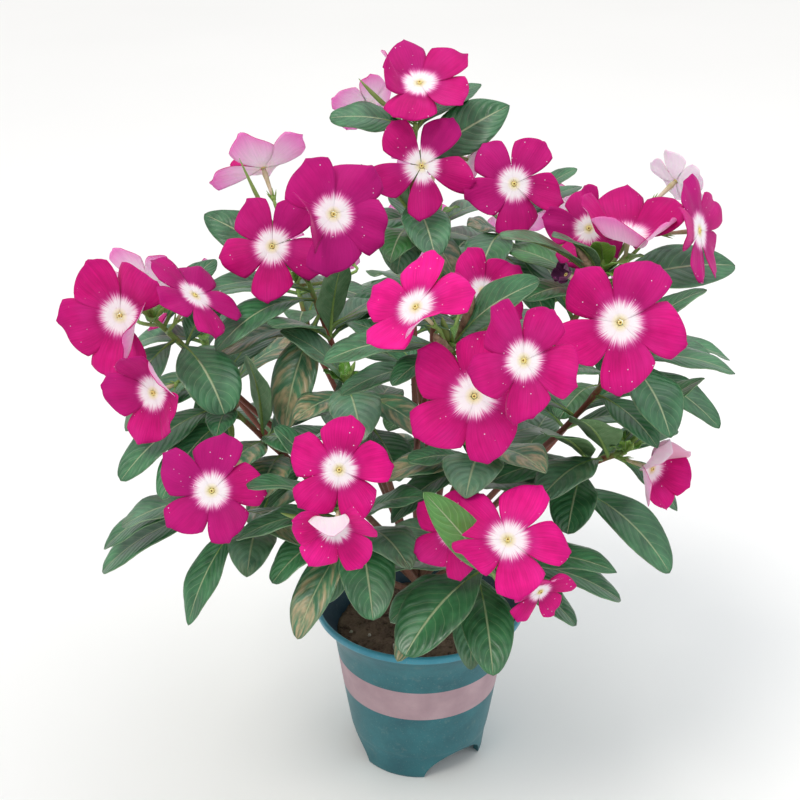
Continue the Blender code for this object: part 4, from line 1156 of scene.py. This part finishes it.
def add_long_stalked(blades, wood, end, foot, tip, *form, rng):
    """A young leaf whose stalk rises from the shoot's end."""
    young = Leaf(Vector(foot), Vector(tip), *form)
    add_blade(blades, young, (0.38, 0.0, 0.2), rng)
    add_stalk(wood, young, 0.1)
    sweep(wood, [end, end.lerp(young.base, 0.6), young.base], [1.2, 1.1, 1.1], 6,
          look=stem_look(0.1))


def build_shoot(name, spec, path, leaves, flowers, rng, skins, bark):
    """The blades as one piece; the stem, stalks, flower stalks and buds as another."""
    blades = bmesh.new()
    blades.loops.layers.uv.new("blade")
    blades.verts.layers.float_vector.new("leaf_look")
    wood = bmesh.new()
    wood.verts.layers.float_vector.new("stem_look")
    for leaf, look in leaves:
        add_blade(blades, leaf, look, rng)
        add_stalk(wood, leaf, 0.12 + 0.1 * rng.random())
    rooted = [Vector((0.0, 0.0, spec["start"] - 6.0))] + path
    add_shoot_stem(wood, rooted, [leaf.base for leaf, _ in leaves], rng)
    for flower in flowers:
        add_flower_stalk(wood, pedicel_points(path, flower))
        add_calyx(wood, flower)
    for s, tip, radius in spec.get("spikes", ()):
        look = stem_look(0.3, 1.0) if radius > 2.1 else stem_look(0.08, 0.15)
        add_bud(wood, curve_through(path, s), Vector(tip), radius * 1.05, look)
    add_tuft(blades, wood, path[-1], TUFT_SIZES.get(name, USUAL_TUFT), rng)
    if name in LONG_STALKED:
        add_long_stalked(blades, wood, path[-1], *LONG_STALKED[name], rng=rng)
    node = "shoot_" + name
    finish_piece(blades, "leaves_" + name, skins, "leaf_green", node)
    finish_piece(wood, "stems_" + name, [bark], "stem_bark", node)


def turned(profile, steps):
    """A full turn of a profile that starts and ends on the Z axis."""
    work = bmesh.new()
    corners = [work.verts.new((r * MM, 0.0, z * MM)) for r, z in profile]
    edges = [work.edges.new(pair) for pair in zip(corners, corners[1:])]
    bmesh.ops.spin(work, geom=corners + edges, cent=(0, 0, 0), axis=(0, 0, 1),
                   angle=2.0 * math.pi, steps=steps, use_merge=True)
    bmesh.ops.remove_doubles(work, verts=work.verts, dist=0.00001)
    bmesh.ops.recalc_face_normals(work, faces=work.faces)
    return work


def cutter(radius, depth, placing, sides):
    """A hidden cylinder along Z, placed by a matrix that works in millimetres."""
    work = bmesh.new()
    bmesh.ops.create_cone(work, cap_ends=True, segments=sides, radius1=radius, radius2=radius,
                          depth=depth)
    bmesh.ops.transform(work, matrix=Matrix.Scale(MM, 4) @ placing, verts=work.verts)
    return add_mesh("cutter", work)


def wall_points(steps):
    """Points at equal steps up the smooth outer wall, from its foot to just under the lip."""
    body = [Vector((r, 0.0, z)) for z, r in BODY_PROFILE + FLARE_PROFILE]
    return [curve_through(body, k / steps) for k in range(steps + 1)]


def smooth_radius(height):
    """Outer radius of the smooth wall at a height."""
    return min(wall_points(400), key=lambda point: abs(point.z - height)).x


def pot_profile():
    """Radius and height of points round the wall: recess, foot, outside, rolled lip and inside."""
    outer = {(point.x, point.z) for point in wall_points(40)}
    outer |= {(smooth_radius(z), z) for z in (BAND_BOTTOM, BAND_TOP)}
    outer = sorted((place for place in outer if 0.5 < place[1] < LIP_UNDERSIDE),
                   key=lambda place: place[1])
    lip = [(LIP_RADIUS - 1.5, 103.0), (LIP_RADIUS - 0.5, 103.6), (LIP_RADIUS - 0.1, 104.6)]
    for k in range(9):
        a = math.radians(180.0 / 8 * k)
        lip.append((LIP_RADIUS - 1.5 + 1.5 * math.cos(a), 106.5 + 1.5 * math.sin(a)))
    lip.append((LIP_RADIUS - 3.1, 105.4))
    above = wall_radius(FLOOR_TOP) - WALL
    inner = [(r - WALL, z) for r, z in reversed(outer) if z > FLOOR_TOP + 3.0]
    inner += [(above - 0.2, FLOOR_TOP + 1.0), (above - 1.2, FLOOR_TOP), (0.0, FLOOR_TOP)]
    below = wall_radius(FLOOR_UNDERSIDE) - WALL
    sole = BASE_RADIUS - SOLE_WIDTH
    recess = [(0.0, FLOOR_UNDERSIDE), (below - 1.6, FLOOR_UNDERSIDE),
              (below - 1.0, FLOOR_UNDERSIDE - 0.8), (sole + 0.6, 8.0), (sole, 0.4),
              (sole + 0.4, 0.0), (BASE_RADIUS - 0.5, 0.0), (BASE_RADIUS - 0.05, 0.5)]
    return recess + outer + lip + inner


def cut_openings(pot):
    """Cuts the arched notches in the foot and the drain holes in the floor."""
    cutters = []
    lay = Matrix.Rotation(math.radians(90.0), 4, "X")
    squash = Matrix.Diagonal((1.0, 1.0, NOTCH_HEIGHT / NOTCH_HALF_WIDTH, 1.0))
    for heading in NOTCH_HEADINGS:
        turn = Matrix.Rotation(math.radians(heading), 4, "Z")
        place = Matrix.Translation((0.0, -42.0, 0.0))
        cutters.append(cutter(NOTCH_HALF_WIDTH, 34.0, turn @ place @ squash @ lay, 48))
    for k in range(DRAIN_HOLES):
        spot = direction(360.0 / DRAIN_HOLES * k + 18.0, 0.0) * DRAIN_HOLE_CIRCLE
        spot.z = 0.5 * (FLOOR_UNDERSIDE + FLOOR_TOP)
        cutters.append(cutter(DRAIN_HOLE_RADIUS, 12.0, Matrix.Translation(spot), 24))
    for tool in cutters:
        cut = pot.modifiers.new("cut", "BOOLEAN")
        cut.operation = "DIFFERENCE"
        cut.solver = "EXACT"
        cut.object = tool
    graph = bpy.context.evaluated_depsgraph_get()
    cut_mesh = bpy.data.meshes.new_from_object(pot.evaluated_get(graph))
    pot.modifiers.clear()
    pot.data = cut_mesh
    for tool in cutters:
        bpy.data.objects.remove(tool, do_unlink=True)


def build_pot():
    """The flared pot of one moulding: outside, printed band, lip with painted light, inside with
    painted shade.
    """
    work = turned(pot_profile(), 96)
    for face in work.faces:
        middle = face.calc_center_median() / MM
        outside = face.normal.x * middle.x + face.normal.y * middle.y > 0.0
        if middle.z > LIP_UNDERSIDE:
            face.material_index = 1
        elif outside and BAND_BOTTOM < middle.z < BAND_TOP:
            face.material_index = 2
        elif not outside and middle.z > FLOOR_TOP - 0.5:
            face.material_index = 3
    # Painted light and shade: the lip is a lighter copy of the plastic, as if lit from above, and
    # the inside a darker copy for the shade within the pot.
    materials = [
        moulded_plastic("satin_moulded_polypropylene", "1E5A64", "2B727A", 0.42),
        moulded_plastic("polypropylene_lip_painted_lighter", "2B7E94", "3D94A8", 0.36),
        printed_ink(),
        moulded_plastic("shaded_polypropylene_inside", "15303F", "1F4454", 0.5),
    ]
    pot = finish_piece(work, "pot_body", materials, "pot_plastic", "pot")
    cut_openings(pot)
    pot.data.shade_smooth()
    pot.data.set_sharp_from_angle(angle=math.radians(38.0))


def soil_height(x, y):
    """Lumpy top of the soil, a little higher round the stem."""
    out = math.hypot(x, y)
    base = SOIL_CENTRE_HEIGHT - (SOIL_CENTRE_HEIGHT - SOIL_EDGE_HEIGHT) * ease(out, 10.0, 50.0)
    lump = 2.0 * noise.noise(Vector((x, y, 3.0)) / 9.0)
    crumb = 0.9 * noise.noise(Vector((x, y, 8.0)) / 3.2)
    return base + lump + crumb - 0.6


def build_soil(rng):
    """The root ball with a crumbly top, and loose crumbs and a few pale grains on it."""
    noise.seed_set(SEED)
    fit = WALL + 0.4
    edge = wall_radius(SOIL_EDGE_HEIGHT) - fit
    rings = 26
    profile = [(edge * k / rings, SOIL_EDGE_HEIGHT) for k in range(rings + 1)]
    profile += [(wall_radius(z) - fit, z) for z in (80.0, 50.0, 30.0)]
    profile += [(wall_radius(FLOOR_TOP) - fit - 1.2, FLOOR_TOP + 0.4), (0.0, FLOOR_TOP + 0.4)]
    work = turned(profile, 120)
    for vert in work.verts:
        if vert.co.z > (SOIL_EDGE_HEIGHT - 0.5) * MM:
            vert.co.z = soil_height(vert.co.x / MM, vert.co.y / MM) * MM
    for k in range(CRUMBS):
        out = CRUMB_SPREAD * math.sqrt(rng.random())
        turn = rng.uniform(0.0, 6.28)
        x, y = out * math.cos(turn), out * math.sin(turn)
        size = rng.uniform(0.5, 1.5) if rng.random() < 0.85 else rng.uniform(1.5, 2.8)
        place = (Matrix.Translation(Vector((x, y, soil_height(x, y) + 0.2 * size)) * MM)
                 @ Matrix.Rotation(rng.uniform(0.0, 6.28), 4, direction(rng.uniform(0, 360), 30.0))
                 @ Matrix.Diagonal((size, size * rng.uniform(0.6, 1.0), size * 0.7, 1.0)))
        crumb = bmesh.ops.create_icosphere(work, subdivisions=1, radius=MM, matrix=place)["verts"]
        for vert in crumb:
            vert.co += noise.noise_vector(vert.co / (2.0 * MM)) * 0.25 * size * MM
        if rng.random() < 0.02:
            for face in {face for vert in crumb for face in vert.link_faces}:
                face.material_index = 1
    grain = plain_tissue("pale_mineral_grain", "9C958A", "C9C2B6", 0.9, 1.0, 0.2)
    finish_piece(work, "soil_bed", [damp_soil(), grain], "potting_soil", "soil")


def build_main_stem(rng, bark):
    """The short woody stem, slightly crooked and flared at the soil."""
    work = bmesh.new()
    work.verts.layers.float_vector.new("stem_look")
    count = 26
    line = []
    radii = []
    for k in range(count + 1):
        z = STEM_FOOT + (STEM_TOP - STEM_FOOT) * k / count
        line.append(Vector((0.5 * math.sin(z / 14.0), 0.5 * math.cos(z / 17.0), z)))
        flare = 0.6 * ease(100.0 - z, 0.0, 14.0)
        radii.append(3.9 - 0.9 * k / count + rng.uniform(-0.2, 0.35) + flare)
    sweep(work, line, radii, 14, look=stem_look(0.95))
    finish_piece(work, "main_stem_bark", [bark], "stem_bark", "main_stem")


def place_leaves(paths, flowers):
    """The leaves of each shoot with their looks, placed by the same rule as the solids."""
    thicket = Thicket()
    for name, path in paths.items():
        thicket.add(name, *rod_sheet([curve_through(path, k / 8) for k in range(9)], SHOOT_ROOM))
        for flower in flowers[name]:
            add_flower(thicket, name, flower)
            thicket.add(name, *rod_sheet(pedicel_points(path, flower), PEDICEL_ROOM))
    leaves = {name: [] for name in SHOOTS}
    for name, spec in SHOOTS.items():
        for (s, tip, *form), look in zip(spec.get("leaves", ()), LEAF_LOOKS.get(name, "")):
            wish = Leaf(curve_through(paths[name], s), Vector(tip), *form)
            leaf = place_leaf(thicket, name, wish, False)
            if leaf:
                leaves[name].append((leaf, LOOK_VALUES[look]))
    rng = random.Random(SEED)
    paint = random.Random(SEED + 1)
    for name, spec in SHOOTS.items():
        lowest = spec.get("lowest", USUAL_LOWEST)
        for wish in paired_leaves(paths[name], spec.get("pairs", 1), lowest, rng):
            leaf = place_leaf(thicket, name, wish, True)
            if leaf:
                leaves[name].append((leaf, LOOK_VALUES[paint.choice("gggggdppt")]))
    return leaves, paint


def build_plant():
    """The main stem, then each shoot and its flowers."""
    paths = {name: shoot_path(spec) for name, spec in SHOOTS.items()}
    flowers = {name: [Flower(*row) for row in spec.get("flowers", ())]
               for name, spec in SHOOTS.items()}
    leaves, paint = place_leaves(paths, flowers)
    skins = [fresh_leaf(), leaf_underside()]
    bark = stem_skin()
    bloom = [
        petal_face(), petal_back(),
        plain_tissue("fresh_flower_tube", "B9B07C", "D9C6B0", 0.6, 4.0, 0.1),
        plain_tissue("yellow_throat_hairs", "DEC55C", "F2E6A4", 0.7, 0.5, 0.2),
        plain_tissue("shaded_throat_mouth", "8A5A22", "B07A30", 0.8, 1.0, 0.1),
    ]
    build_main_stem(paint, bark)
    for name, spec in SHOOTS.items():
        build_shoot(name, spec, paths[name], leaves[name], flowers[name], paint, skins, bark)
        for k, flower in enumerate(flowers[name]):
            label = f"{name}_{k + 1}"
            pale = PALE_PETALS.get(label, (0.0,) * 5)
            breadth = PETAL_BREADTHS.get(label, USUAL_BREADTH)
            tone = FLOWER_TONES.get(label) or paint.uniform(0.88, 1.06)
            build_flower(label, flower, paint, bloom, breadth, tone, pale)


# ---------------------------------------------------------------- studio

def build_floor():
    """A plain floor of white paper, 12 m across."""
    work = bmesh.new()
    bmesh.ops.create_grid(work, x_segments=1, y_segments=1, size=6.0)
    paper = new_material("white_paper_floor", 0.9, 0.1)
    tone = add_node(paper, "ValToRGB", [mottle(paper, 900.0)],
                    stops=[(0.3, "F3F3F2"), (0.7, "F7F7F6")])[0]
    feed_shader(paper, Base_Color=tone)
    floor = add_mesh("floor", work, [paper])


def light_scene():
    """A soft sky, a high warm sun and two large cool lamps; places are in metres."""
    world = bpy.data.worlds.new("soft_sky")
    bpy.context.scene.world = world
    world.use_nodes = True
    sky = world.node_tree.nodes["Background"].inputs
    sky["Color"].default_value = (0.97, 0.985, 1.0, 1.0)
    sky["Strength"].default_value = 0.7
    for name, kind, place, spread, power, colour in [
            ("key", "SUN", (-0.6, -0.7, 1.6), math.radians(25.0), 1.25, "FFF9F2"),
            ("top", "AREA", (0.3, 0.3, 1.6), 1.4, 7.0, "F6F9FF"),
            ("fill", "AREA", (1.2, -0.6, 0.7), 1.0, 2.5, "F4F8FF")]:
        light = bpy.data.lights.new(name, kind)
        setattr(light, "angle" if kind == "SUN" else "size", spread)
        light.energy = power
        light.color = linear(colour)[:3]
        lamp = add_object(name, light)
        lamp.location = place
        aim = Vector((0.0, 0.0, 0.25)) - Vector(place)
        lamp.rotation_euler = aim.to_track_quat("-Z", "Y").to_euler()


def set_camera():
    """A short telephoto view from the front, looking 26.5 degrees down."""
    bpy.context.scene.view_settings.view_transform = "Standard"
    lens = bpy.data.cameras.new("camera")
    lens.lens = 72.0
    lens.sensor_width = 36.0
    camera = add_object("camera", lens)
    camera.location = Vector((-12.4, -831.6, 658.8)) * MM
    camera.rotation_euler = (math.radians(90.0 - 26.5), 0.0, 0.0)
    bpy.context.scene.camera = camera


build_floor()
light_scene()
set_camera()
build_pot()
build_soil(random.Random(SEED + 2))
build_plant()
